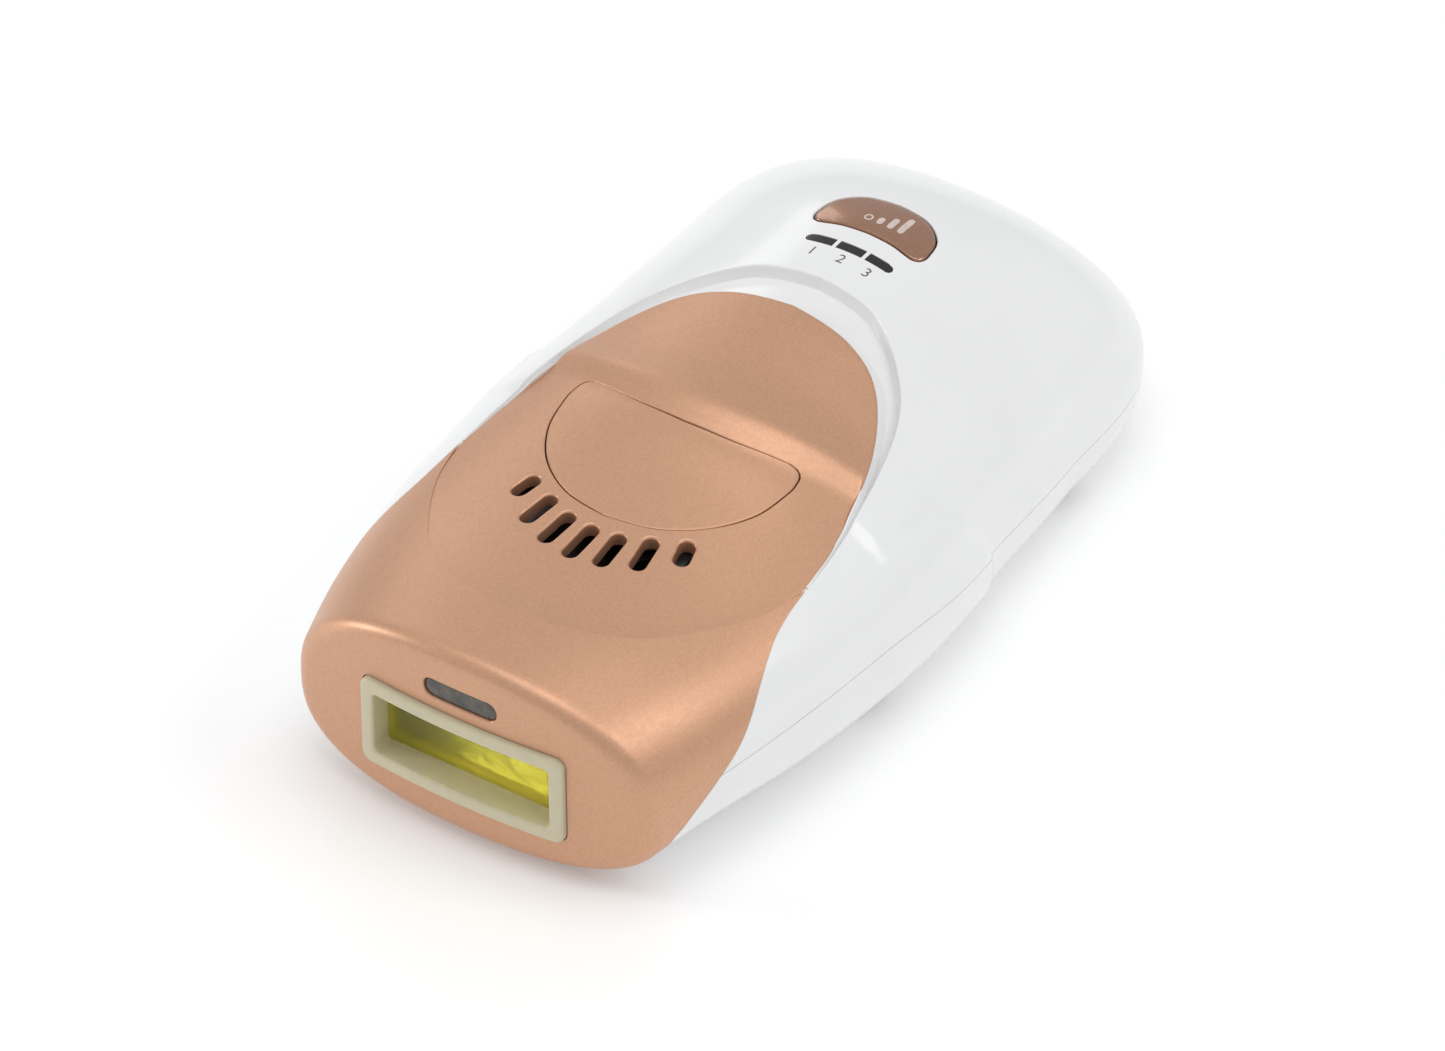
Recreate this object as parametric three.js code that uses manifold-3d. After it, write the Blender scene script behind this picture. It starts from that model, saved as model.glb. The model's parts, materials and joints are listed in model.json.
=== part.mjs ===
// Handheld light-pulse hair remover, in millimetres.
// X is the width, Y runs from the treatment head (front, -Y) to the rear, and Z is up.
// All stations below are distances from the front of the head; the model group shifts them so that
// the origin is at the middle of the base.
import * as THREE from "three";
import { mergeVertices } from "three/addons/utils/BufferGeometryUtils.js";
import Module from "manifold-3d";

const wasm = await Module();
wasm.setup();

// ---- Driving dimensions -------------------------------------------------------------------------
const LENGTH = 142.8;
const ORIGIN_STATION = 70.85; // station of the origin: the middle of the whole object's length
const WALL = 2.2;
const GAP = 0.3; // clearance between pieces that touch
const REAR_START = 108.3; // where the rounded rear end begins
const REAR_PLAN_POWER = 3.4;
const REAR_PROFILE_POWER = 1.95;
const FACE_BOW = 2.56; // how far the face falls back at BOW_HALF_WIDTH
const BOW_HALF_WIDTH = 28.2;
const BOW_REACH = 42; // the bow has faded out this far back

// Each profile is a list of [station, value], joined by smooth curves.
const HALF_WIDTH = [[0, 30.9], [14, 34.6], [32, 37.6], [50, 39.6], [68, 40.3], [88, 38.8], [108, 37]];
const TOP = [[0, 34.9], [14, 35.1], [32, 35.3], [47, 36.6], [57, 38.2], [63, 39.9], [88, 40.1], [108, 39.6]];
const BOTTOM = [[0, 1], [14, 3.8], [32, 1.6], [50, 0], [68, -0.4], [108, -0.4]];
const WAIST = [[0, 15.2], [LENGTH, 13.1]]; // height of the widest line
const TOP_POWER = [[0, 2.2], [20, 2.4], [38, 2.4], [60, 2.05], [88, 1.95], [LENGTH, 2.1]];
const BOTTOM_POWER = [[0, 2.9], [LENGTH, 3.9]];

const SEAM = [[-9, 17.5], [47, 17.5], [74, 14.6], [100, 12.6], [152, 11.4]]; // parting height of the tray
// Side view of the head's rear edge, from below to the notch where the egg panel starts
const HEAD_EDGE = [[7, -9], [7.2, 8], [9, 12], [14, 16.3], [20, 20.3], [27, 25.2], [33.3, 28], [39, 29.3],
  [45, 29.95]];
const NOTCH_STATION = 45;
// Half outlines in plan, from the notch to the apex
const EGG = [[30.3, 45], [28.1, 59.3], [24.2, 72], [18.3, 81.5], [10.6, 86], [0, 87.6]];
const SCOOP = [[30.4, 45], [28.7, 61.5], [24.6, 77.6], [19.2, 86.6], [10.4, 93.6], [0, 95.5]];
const SCOOP_APEX_HEIGHT = 40;
const SCOOP_SLOPE = 0.27;

const LAMP_HEIGHT = 15.6; // height of the middle of the light window
const FRAME_OUTER = [35.2, 15.8];
const FRAME_INNER = [30.4, 11.2];
const FRAME_PROUD = 1;
const FRAME_DEPTH = 5.1;
const SENSOR_HEIGHT = 27.3;
const SENSOR_SIZE = [12.6, 3.2];
const TUBE_STATION = 10.5;
const TUBE_RADIUS = 2.3;
const TUBE_HALF = 19;

const PULSE_RADIUS = 19.4;
const PULSE_CENTRE = 57;
const PULSE_REAR = 60.7; // station of the rear edge's ends; its middle dips forward
const PULSE_DIP = 56.8;
const PULSE_REAR_HALF = 17.6;
const PULSE_CORNER = [19.6, 61];
const PULSE_SWEEP = 0.02; // the round front runs this share of a half turn past the middle
const PULSE_SWITCH_STATION = 54;
const LEVEL_SWITCH_STATION = 111.5;
const LEVEL_OUTLINE = [[8.1, 107.2], [9.4, 109.4], [8.6, 112.8], [5, 115.7], [0, 116.5]];
const LEVEL_FRONT = 109; // the front edge bows in towards here
const LENS_STATION = 103.2;
const LENS_PITCH = 4.9;
const LENS_SIZE = [4.2, 1.5];
const LENS_LOW = 33.6; // underside of the lenses

const SLOT_LENGTHS = [5.4, 7.4, 7.9, 8.2, 7.9, 7.4, 5.4];
const SLOT_PITCH = 4.6;
const SLOT_WIDTH = 2.9;
const SLOT_AIM = 92; // station that the slots point at
const SLOT_FRONT = 31.4; // station of the middle slot's middle
const SLOT_ARC = 0.033;

const FAN_STATION = 34.5;
const FAN_SIZE = 25;
const FAN_BASE = 22;
const FAN_HEIGHT = 8;
const FAN_CORNER = 10.2; // the fan's screws sit this far out from its middle, each way
const FAN_SCREWS = [-1, 1]; // at two opposite corners
const BOARD_TOP = 31; // top of the control board
const POWER_BOARD_TOP = 6.6;
const INLET_HEIGHT = 13.2;
const SHELL_SCREWS = [[-31, 58], [31, 58], [-29.4, 112], [29.4, 112]];
const POWER_BOARD_SCREWS = [[-21, 56], [21, 56], [-21, 116], [21, 116]];
const CONTROL_BOARD_SCREWS = [[0, 70], [0, 94]];
const HOLDER_SCREWS = [-24.2, 24.2];
const HOLDER_SCREW_HEIGHT = 11;
const WIRE_TURNS = 5;
const WIRE_COIL_RADIUS = 2.9;
const WIRE_HALF = 14;
const FAN_BLADES = 7;

// Cutters run from below the body to above it, and past its sides and rear
const BELOW = -9;
const ABOVE = 60;
const WIDE = 60;
const BEYOND = 160;

// ---- Materials ----------------------------------------------------------------------------------
function finish(color, roughness, metalness = 0, opacity = 1) {
  const transparent = opacity < 1;
  return () => new THREE.MeshStandardMaterial({ color, roughness, metalness, opacity, transparent });
}
const satinCopper = finish(0xcf9f82, 0.42, 0.45);
const glossCopper = finish(0xa9775c, 0.2, 0.5);
const whitePlastic = finish(0xf0efee, 0.22);
const ivoryPlastic = finish(0xe4e3d2, 0.45);
const filterGlass = finish(0xb9bd3a, 0.08, 0, 0.6);
const tubeGlass = finish(0xf3f5f0, 0.05, 0, 0.4);
const smokyPlastic = finish(0x6a645c, 0.15, 0, 0.8);
const blackPlastic = finish(0x2b2625, 0.3);
const greyPlastic = finish(0x8d9093, 0.5);
const heatPlastic = finish(0x3b3a38, 0.6);
const boardGreen = finish(0x1f5a3a, 0.45);
const steel = finish(0xb8babd, 0.35, 0.9);
const mirrorMetal = finish(0xe6e6e4, 0.1, 1);
const copperWire = finish(0xb06a3a, 0.4, 0.8);
const ferrite = finish(0x3c3c3f, 0.7);
const capacitorSleeve = finish(0x22304a, 0.35);
const ledLens = finish(0xf4f4ee, 0.3);
const leadRubber = finish(0xb33a2c, 0.5);

// ---- Making and placing solids ------------------------------------------------------------------
function solid(geometry) {
  const bare = geometry.clone();
  bare.deleteAttribute("normal");
  bare.deleteAttribute("uv");
  const merged = mergeVertices(bare, 1e-4);
  return new wasm.Manifold(
    new wasm.Mesh({
      numProp: 3,
      vertProperties: new Float32Array(merged.attributes.position.array),
      triVerts: new Uint32Array(merged.index.array),
    }),
  );
}

function geometryOf(manifold) {
  const { vertProperties, triVerts } = manifold.getMesh();
  const geometry = new THREE.BufferGeometry();
  geometry.setAttribute("position", new THREE.BufferAttribute(vertProperties, 3));
  geometry.setIndex(new THREE.BufferAttribute(triVerts, 1));
  geometry.computeVertexNormals();
  return geometry;
}

const model = new THREE.Group();
model.position.y = -ORIGIN_STATION;

function piece(name, shape, material, parent = model) {
  const mesh = new THREE.Mesh(geometryOf(shape), material());
  mesh.name = name;
  parent.add(mesh);
  return mesh;
}

// A block given by its low and high corners
function block(low, high) {
  const size = high.map((value, axis) => value - low[axis]);
  const middle = high.map((value, axis) => (value + low[axis]) / 2);
  return solid(new THREE.BoxGeometry(...size).translate(...middle));
}

const ROUND = { x: [0, 0, -Math.PI / 2], y: [0, 0, 0], z: [Math.PI / 2, 0, 0] };

// A round bar along x, y or z, with its middle at a point
function bar(axis, radius, length, middle, sides = 20) {
  const geometry = new THREE.CylinderGeometry(radius, radius, length, sides);
  geometry.applyMatrix4(new THREE.Matrix4().makeRotationFromEuler(new THREE.Euler(...ROUND[axis])));
  return solid(geometry.translate(...middle));
}

function upright(radius, low, high, x, y, sides = 20) {
  return bar("z", radius, high - low, [x, y, (low + high) / 2], sides);
}

function extruded(shape, depth, curveSegments) {
  return new THREE.ExtrudeGeometry(shape, { depth, bevelEnabled: false, curveSegments });
}

// A plan outline (x, station) raised from one height to another
function raised(shape, low, high, segments = 8) {
  return solid(extruded(shape, high - low, segments).translate(0, 0, low));
}

// A side outline (station, height) drawn through the whole width
function across(shape, halfWidth, segments = 8) {
  const geometry = extruded(shape, 2 * halfWidth, segments);
  const turn = new THREE.Matrix4().makeBasis(
    new THREE.Vector3(0, 1, 0),
    new THREE.Vector3(0, 0, 1),
    new THREE.Vector3(1, 0, 0),
  );
  return solid(geometry.translate(0, 0, -halfWidth).applyMatrix4(turn));
}

// A front outline (x, height) drawn rearward from one station to another
function through(shape, from, to, segments = 8) {
  return solid(extruded(shape, to - from, segments).rotateX(Math.PI / 2).translate(0, to, 0));
}

function outline(points) {
  return new THREE.Shape(points.map(([x, y]) => new THREE.Vector2(x, y)));
}

function roundedBox(width, height, radius, x = 0, y = 0) {
  const [w, h] = [width / 2 - radius, height / 2 - radius];
  const shape = new THREE.Shape();
  shape.absarc(x + w, y + h, radius, 0, Math.PI / 2);
  shape.absarc(x - w, y + h, radius, Math.PI / 2, Math.PI);
  shape.absarc(x - w, y - h, radius, Math.PI, Math.PI * 1.5);
  shape.absarc(x + w, y - h, radius, Math.PI * 1.5, Math.PI * 2);
  return shape;
}

function joined(solids) {
  return solids.reduce((sum, next) => sum.add(next));
}

// ---- The body's skin ----------------------------------------------------------------------------
function smooth(profile, station) {
  const curve = new THREE.SplineCurve(profile.map(([y, value]) => new THREE.Vector2(y, value)));
  const last = profile.length - 1;
  if (station <= profile[0][0]) return profile[0][1];
  if (station >= profile[last][0]) return profile[last][1];
  const span = profile.findIndex(([y]) => y > station) - 1;
  let [low, high] = [span / last, (span + 1) / last];
  for (let step = 0; step < 24; step++) {
    const middle = (low + high) / 2;
    if (curve.getPoint(middle).x < station) low = middle;
    else high = middle;
  }
  return curve.getPoint(low).y;
}

function section(station) {
  return {
    width: smooth(HALF_WIDTH, station),
    top: smooth(TOP, station),
    bottom: smooth(BOTTOM, station),
    waist: smooth(WAIST, station),
    topPower: smooth(TOP_POWER, station),
    bottomPower: smooth(BOTTOM_POWER, station),
  };
}

// How far the face's bow moves a point back
function bow(x, station) {
  const fade = Math.max(0, 1 - station / BOW_REACH) ** 1.5;
  return FACE_BOW * fade * (x / BOW_HALF_WIDTH) ** 2;
}

// A closed skin, a given distance inside the body's outside; rows are [station, extra inset] pairs
function skin(rows, around, inset) {
  const ball = new THREE.SphereGeometry(1, around, rows.length - 1);
  const place = ball.attributes.position;
  const squeeze = (LENGTH - 2 * inset) / LENGTH;
  rows.forEach(([station, extra], row) => {
    const { width, top, bottom, waist, topPower, bottomPower } = section(station);
    const rear = Math.max(0, (station - REAR_START) / (LENGTH - REAR_START));
    const plan = (1 - rear ** REAR_PLAN_POWER) ** (1 / REAR_PLAN_POWER);
    const profile = (1 - rear ** REAR_PROFILE_POWER) ** (1 / REAR_PROFILE_POWER);
    const pull = inset + extra;
    const pole = row === 0 || row === rows.length - 1;
    for (let column = 0; column <= around; column++) {
      const angle = ((column % around) / around) * 2 * Math.PI;
      const [c, s] = pole ? [0, 0] : [Math.cos(angle), Math.sin(angle)];
      const power = s > 0 ? topPower : bottomPower;
      const x = (width - pull) * plan * Math.sign(c) * Math.abs(c) ** (2 / power);
      const reach = s > 0 ? top - pull - waist : bottom + pull - waist;
      const z = waist + reach * profile * Math.abs(s) ** (2 / power);
      const y = inset + station * squeeze + bow(x, station);
      place.setXYZ(row * (around + 1) + column, x, y, z);
    }
  });
  return solid(ball);
}

const REAR_ROWS = [0.25, 0.45, 0.64, 0.8, 0.92, 0.985];
const rearStations = REAR_ROWS.map((share) => [REAR_START + (LENGTH - REAR_START) * share, 0]);
const OUTSIDE_ROWS = [
  [0, 0], [0, 1.9], [0.7, 0.6], [2.2, 0], [9, 0], [16, 0], [24, 0], [32, 0], [40, 0], [48, 0],
  [56, 0], [59, 0], [62, 0], [66, 0], [74, 0], [82, 0], [90, 0], [99, 0], [REAR_START, 0],
  ...rearStations, [LENGTH, 0],
];
const INSIDE_ROWS = [
  [0, 0], [0, 1], [8, 0], [20, 0], [34, 0], [48, 0], [57, 0], [64, 0], [88, 0], [REAR_START, 0],
  ...rearStations.filter((row, index) => index % 2), [LENGTH, 0],
];

function symmetric(half) {
  const right = new THREE.SplineCurve(half.map(([x, y]) => new THREE.Vector2(x, y))).getPoints(9);
  const left = right.slice(0, -1).reverse().map((point) => new THREE.Vector2(-point.x, point.y));
  return [...right, ...left];
}

// The egg panel's plan outline, grown outward by a clearance, and closed in front of the notch
function eggOutline(grow) {
  const [half, front] = [EGG[0][0] + 0.3 + grow, NOTCH_STATION - 4];
  const apex = EGG[EGG.length - 1][1];
  const points = symmetric(EGG.map(([x, y]) => [x * (1 + grow / EGG[0][0]), y + (grow * y) / apex]));
  return new THREE.Shape([new THREE.Vector2(half, front), ...points, new THREE.Vector2(-half, front)]);
}

function headRegion(grow) {
  const edge = HEAD_EDGE.map(([y, z]) => [y + grow, z]);
  const side = outline([[BELOW, BELOW], ...edge, [NOTCH_STATION + grow, ABOVE], [BELOW, ABOVE]]);
  return across(side, WIDE).add(raised(eggOutline(grow), 23, ABOVE));
}

// The sloped space between the egg panel and the edge of the scoop round it
function scoopSpace(drop) {
  const [front, rear] = [30, 110];
  const floorAt = (y) => SCOOP_APEX_HEIGHT - drop + (y - SCOOP[5][1]) * SCOOP_SLOPE;
  const side = outline([[front, floorAt(front)], [rear, floorAt(rear)], [rear, ABOVE], [front, ABOVE]]);
  return raised(new THREE.Shape(symmetric(SCOOP)), 20, ABOVE).intersect(across(side, WIDE));
}

function trayRegion(offset) {
  const edge = SEAM.map(([y, z]) => [y, z + offset]);
  const [front, rear] = [SEAM[0][0], SEAM[SEAM.length - 1][0]];
  return across(outline([[front, BELOW], ...edge, [rear, BELOW]]), WIDE);
}

const outside = skin(OUTSIDE_ROWS, 26, 0).subtract(block([-WIDE, BELOW, BELOW], [WIDE, BEYOND, 0]));
const hollow = skin(INSIDE_ROWS, 20, WALL).subtract(block([-WIDE, BELOW, BELOW], [WIDE, BEYOND, WALL]));
const skinWall = outside.subtract(hollow);

// ---- Openings in the shells ---------------------------------------------------------------------
function frameOpening() {
  const plan = roundedBox(FRAME_OUTER[0] + 2 * GAP, FRAME_OUTER[1] + 2 * GAP, 1.8, 0, LAMP_HEIGHT);
  return through(plan, BELOW, 9, 4);
}

function sensorOutline(grow) {
  const [width, height] = SENSOR_SIZE;
  return roundedBox(width + 2 * grow, height + 2 * grow, height / 2 + grow - 0.01, 0, SENSOR_HEIGHT);
}

function coolingSlot(index) {
  const x = (index - 3) * SLOT_PITCH;
  const middle = SLOT_FRONT + SLOT_ARC * x * x;
  const turn = Math.atan2(x, SLOT_AIM - middle);
  const shape = roundedBox(SLOT_WIDTH, SLOT_LENGTHS[index], SLOT_WIDTH / 2 - 0.01);
  return solid(extruded(shape, 20, 3).rotateZ(turn).translate(x, middle, 26));
}

// Half-moon plan of the pulse button: a round front and a rear edge that dips in a little
function pulseOutline(grow) {
  const radius = PULSE_RADIUS + grow;
  const [half, rear] = [PULSE_REAR_HALF + grow, PULSE_REAR + grow];
  const [cornerX, cornerY] = PULSE_CORNER.map((value) => value + grow);
  const past = Math.PI * PULSE_SWEEP;
  const [sideX, sideY] = [radius * Math.cos(past), PULSE_CENTRE + radius * Math.sin(past)];
  const shape = new THREE.Shape();
  shape.absarc(0, PULSE_CENTRE, radius, Math.PI - past, 2 * Math.PI + past);
  shape.quadraticCurveTo(cornerX, cornerY, half, rear);
  shape.quadraticCurveTo(0, PULSE_DIP + grow, -half, rear);
  shape.quadraticCurveTo(-cornerX, cornerY, -sideX, sideY);
  return shape;
}

function levelOutline(grow) {
  const rim = symmetric(LEVEL_OUTLINE.map(([x, y]) => [x * (1 + grow / 9), y + grow * Math.sign(y - 108)]));
  const shape = new THREE.Shape(rim);
  shape.quadraticCurveTo(0, LEVEL_FRONT - grow, rim[0].x, rim[0].y);
  return shape;
}

function lensOutline(index, grow) {
  const [width, height] = LENS_SIZE.map((size) => size + 2 * grow);
  return roundedBox(width, height, 0.6, (index - 1) * LENS_PITCH, LENS_STATION);
}

function inletOpening() {
  return bar("y", 3.9, 12, [0, LENGTH - 3, INLET_HEIGHT]);
}

// ---- Shells -------------------------------------------------------------------------------------
function frontShell() {
  const openings = [
    frameOpening(),
    through(sensorOutline(GAP), BELOW, 9, 5),
    raised(pulseOutline(GAP), 26, ABOVE, 6),
    ...SLOT_LENGTHS.map((length, index) => coolingSlot(index)),
  ];
  const bosses = HOLDER_SCREWS.map((x) => bar("y", 2.7, 6.6, [x, 4.7, HOLDER_SCREW_HEIGHT]));
  const holes = HOLDER_SCREWS.map((x) => bar("y", 1.2, 4.6, [x, 6, HOLDER_SCREW_HEIGHT], 10));
  const walls = skinWall.subtract(joined(openings)).add(joined(bosses).intersect(outside));
  piece("front_shell", walls.intersect(headRegion(0)).subtract(joined(holes)), satinCopper);
}

// Screw bosses hang from the roof; each one is trimmed to the body and bored for its screw
function roofBoss(x, y, low) {
  return upright(3.6, low, 45, x, y, 12).intersect(outside);
}

function upperShell() {
  const floored = hollow.subtract(scoopSpace(WALL));
  const bosses = [
    ...SHELL_SCREWS.map(([x, y]) => roofBoss(x, y, 16.5)),
    ...CONTROL_BOARD_SCREWS.map(([x, y]) => upright(2.6, BOARD_TOP + GAP, 45, x, y, 12).intersect(outside)),
  ];
  const cuts = [
    scoopSpace(0),
    headRegion(GAP),
    trayRegion(GAP / 2),
    raised(levelOutline(GAP), 30, ABOVE, 8),
    inletOpening(),
    ...SHELL_SCREWS.map(([x, y]) => upright(1.7, 10, 25, x, y, 12)),
    ...CONTROL_BOARD_SCREWS.map(([x, y]) => upright(1.2, 25, 36, x, y, 10)),
    ...[0, 1, 2].map((index) => raised(lensOutline(index, GAP), 30, ABOVE, 3)),
  ];
  const shell = outside.subtract(floored).add(joined(bosses)).subtract(joined(cuts));
  piece("upper_shell", shell, whitePlastic);
}

function lowerShell() {
  const posts = [
    ...SHELL_SCREWS.map(([x, y]) => upright(4.4, 0.5, 11, x, y, 12)),
    ...POWER_BOARD_SCREWS.map(([x, y]) => upright(2.6, 0.5, POWER_BOARD_TOP - 1.6 - GAP, x, y, 12)),
  ];
  const cuts = [
    headRegion(GAP),
    inletOpening(),
    ...SHELL_SCREWS.map(([x, y]) => upright(3.1, -1, 7, x, y, 14)),
    ...SHELL_SCREWS.map(([x, y]) => upright(1.7, 5, 20, x, y, 12)),
    ...POWER_BOARD_SCREWS.map(([x, y]) => upright(1.1, 2.4, 9, x, y, 10)),
  ];
  const tray = skinWall.add(joined(posts).intersect(outside)).intersect(trayRegion(-GAP / 2));
  piece("lower_shell", tray.subtract(joined(cuts)), whitePlastic);
}

// ---- Lamp ---------------------------------------------------------------------------------------
// Everything behind a sheet that is bowed like the face, a given distance behind it
function behindFace(offset) {
  const points = [];
  for (let step = -6; step <= 6; step++) points.push([step * 5, offset + bow(step * 5, 0)]);
  return raised(outline([...points, [30, 30], [-30, 30]]), -5, 50);
}

function lampFrame() {
  const plan = (size, radius) => roundedBox(...size, radius, 0, LAMP_HEIGHT);
  const ring = through(plan(FRAME_OUTER, 1.6), -4, FRAME_DEPTH, 4).intersect(behindFace(-FRAME_PROUD));
  const behindWall = behindFace(WALL + 2 * GAP);
  const flange = through(plan([38.6, 18.2], 1.6), 3.9, FRAME_DEPTH, 4).intersect(behindWall);
  const window = through(plan(FRAME_INNER, 0.8), BELOW, 9, 3);
  const rebate = through(plan([32.4, 13.2], 0.4), 3.2, 9, 2);
  piece("lamp_frame", ring.add(flange).subtract(window).subtract(rebate), ivoryPlastic);
}

function filter() {
  const plate = block([-15.9, 3.5, LAMP_HEIGHT - 6.3], [15.9, 4.8, LAMP_HEIGHT + 6.3]);
  piece("filter_glass", plate, filterGlass);
}

function tube() {
  const along = (radius, length, x) => bar("x", radius, length, [x, TUBE_STATION, LAMP_HEIGHT]);
  piece("flash_tube", along(TUBE_RADIUS, 2 * TUBE_HALF, 0), tubeGlass);
  const capAt = TUBE_HALF + GAP + 2;
  piece("tube_cap_left", along(2.6, 4, -capAt), steel);
  piece("tube_cap_right", along(2.6, 4, capAt), steel);
}

function wire(points, radius, sides, steps) {
  const extrudePath = new THREE.CatmullRomCurve3(points.map((point) => new THREE.Vector3(...point)));
  const shape = new THREE.Shape().absarc(0, 0, radius, 0, 2 * Math.PI);
  const options = { extrudePath, steps, curveSegments: sides / 2, bevelEnabled: false };
  return solid(new THREE.ExtrudeGeometry(shape, options));
}

function triggerWire() {
  const steps = WIRE_TURNS * 8;
  const points = [];
  for (let step = 0; step <= steps; step++) {
    const angle = (step / 8) * 2 * Math.PI;
    const [back, up] = [WIRE_COIL_RADIUS * Math.cos(angle), WIRE_COIL_RADIUS * Math.sin(angle)];
    points.push([WIRE_HALF * ((2 * step) / steps - 1), TUBE_STATION + back, LAMP_HEIGHT + up]);
  }
  piece("trigger_wire", wire(points, 0.22, 6, 40), steel);
}

function reflectorTrough() {
  const [mouth, apex, half, thickness] = [5.7, 15.4, 6.1, 0.6];
  const side = (grow) => {
    const points = [];
    for (let step = -8; step <= 8; step++) {
      const share = step / 8;
      const depth = (apex + grow - mouth) * (1 - share ** 2);
      points.push([mouth + depth, LAMP_HEIGHT + (half + grow) * share]);
    }
    return points;
  };
  piece("reflector", across(outline([...side(thickness), ...side(0).reverse()]), 16.6), mirrorMetal);
}

function lampHolder() {
  const [front, rear] = [5.4, 20];
  const body = block([-21, front, LAMP_HEIGHT - 8.5], [21, rear, LAMP_HEIGHT + 8.5]);
  const [low, high] = [HOLDER_SCREW_HEIGHT - 1.9, HOLDER_SCREW_HEIGHT + 1.9];
  const ears = HOLDER_SCREWS.map((x) => block([0.96 * x - 3.4, 8.4, low], [0.96 * x + 3.4, 9.8, high]));
  const cuts = [
    block([-17, front - 1, LAMP_HEIGHT - 7], [17, 17.4, LAMP_HEIGHT + 7]),
    bar("x", 3.1, 60, [0, TUBE_STATION, LAMP_HEIGHT], 16),
    block([-10, 16, LAMP_HEIGHT - 4], [10, 21, LAMP_HEIGHT + 4]),
    ...HOLDER_SCREWS.map((x) => bar("y", 1.3, 9, [x, 9, HOLDER_SCREW_HEIGHT], 10)),
  ];
  piece("lamp_holder", body.add(joined(ears)).subtract(joined(cuts)), heatPlastic);
}

function lampLeads() {
  [[-1, "left"], [1, "right"]].forEach(([side, word]) => {
    const route = [
      [side * 23.8, TUBE_STATION, LAMP_HEIGHT],
      [side * 25.6, TUBE_STATION + 0.6, LAMP_HEIGHT + 0.2],
      [side * 27, TUBE_STATION + 5, LAMP_HEIGHT + 1],
      [side * 27, 28, LAMP_HEIGHT - 2],
      [side * 24, 42, LAMP_HEIGHT - 4],
      [side * 17, 50, LAMP_HEIGHT - 5],
      [side * 14, 54, 10],
      [side * 14, 55, POWER_BOARD_TOP + GAP],
    ];
    piece("lamp_lead_" + word, wire(route, 0.9, 8, 20), leadRubber);
  });
}

function skinSensor() {
  const lens = through(sensorOutline(0), -1, 2.6, 5).intersect(behindFace(0.4));
  piece("sensor_window", lens, smokyPlastic);
  const board = block([-9, 4.2, 25.6], [9, 5.3, 30.4]);
  const chip = block([-4, 3.4, 26.4], [4, 4.3, 28.6]);
  piece("sensor_board", board.add(chip), boardGreen);
}

// ---- Buttons, switches and lights -----------------------------------------------------------------
function pulseButton() {
  piece("pulse_button", skinWall.intersect(raised(pulseOutline(0), 26, ABOVE, 6)), satinCopper);
}

function levelButton() {
  const cap = skinWall.intersect(raised(levelOutline(0), 30, ABOVE, 8));
  const stem = upright(2, BOARD_TOP + 4.3, 38.2, 0, LEVEL_SWITCH_STATION, 16);
  piece("level_button", cap.add(stem), glossCopper);
}

function pushSwitch(name, station) {
  const base = BOARD_TOP + GAP;
  const body = block([-3, station - 3, base], [3, station + 3, base + 2.8]);
  const well = upright(1.8, base + 0.8, base + 9, 0, station, 16);
  piece(name + "_switch", body.subtract(well), blackPlastic);
  piece(name + "_plunger", upright(1.5, base + 1.8, base + 3.7, 0, station, 16), blackPlastic);
}

function indicators() {
  const [low, high] = [BOARD_TOP + GAP, BOARD_TOP + 1.6];
  for (let index = 0; index < 3; index++) {
    const lens = raised(lensOutline(index, 0), LENS_LOW, ABOVE, 3).intersect(outside);
    piece("level_lens_" + (index + 1), lens, blackPlastic);
    const x = (index - 1) * LENS_PITCH;
    const led = block([x - 1, LENS_STATION - 0.6, low], [x + 1, LENS_STATION + 0.6, high]);
    piece("level_led_" + (index + 1), led, ledLens);
  }
}

function controlBoard() {
  const plate = block([-16, 49.6, BOARD_TOP - 1.6], [16, 119, BOARD_TOP]);
  const holes = CONTROL_BOARD_SCREWS.map(([x, y]) => upright(1.3, 20, 40, x, y, 12));
  piece("control_board", plate.subtract(joined(holes)), boardGreen);
}

// ---- Power supply ---------------------------------------------------------------------------------
function powerBoard() {
  const plate = block([-24.4, 50, POWER_BOARD_TOP - 1.6], [24.4, 121, POWER_BOARD_TOP]);
  const holes = POWER_BOARD_SCREWS.map(([x, y]) => upright(1.5, 0, 20, x, y, 10));
  piece("power_board", plate.subtract(joined(holes)), boardGreen);

  const base = POWER_BOARD_TOP + GAP;
  piece("flash_capacitor", bar("x", 9.6, 40, [0, 70, base + 9.6], 28), capacitorSleeve);

  const core = block([-21, 84, base], [-1, 104, base + 16]);
  const coreWindows = [[-17.6, -13.4], [-8.6, -4.4]].map(([left, right]) =>
    block([left, 80, base + 3.4], [right, 110, base + 12.6]),
  );
  piece("transformer_core", core.subtract(joined(coreWindows)), ferrite);
  const winding = block([-17.2, 82, base + 3.8], [-4.8, 106, base + 12.2]);
  const post = block([-13.7, 81, base - 1], [-8.3, 104.3, base + 20]);
  piece("transformer_winding", winding.subtract(post), copperWire);
  piece("trigger_coil", upright(5, base, base + 13, 12, 92, 24), blackPlastic);
}

function inlet() {
  const z = INLET_HEIGHT;
  const body = block([-4.4, 126, z - 3.5], [4.4, 137, z + 3.5]).add(bar("y", 3.5, 5.6, [0, 139.5, z]));
  const socket = bar("y", 2.75, 12, [0, 137.5, z]);
  const pin = bar("y", 0.9, 11.6, [0, 136.2, z], 12);
  piece("dc_inlet", body.subtract(socket).add(pin), blackPlastic);
}

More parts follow.
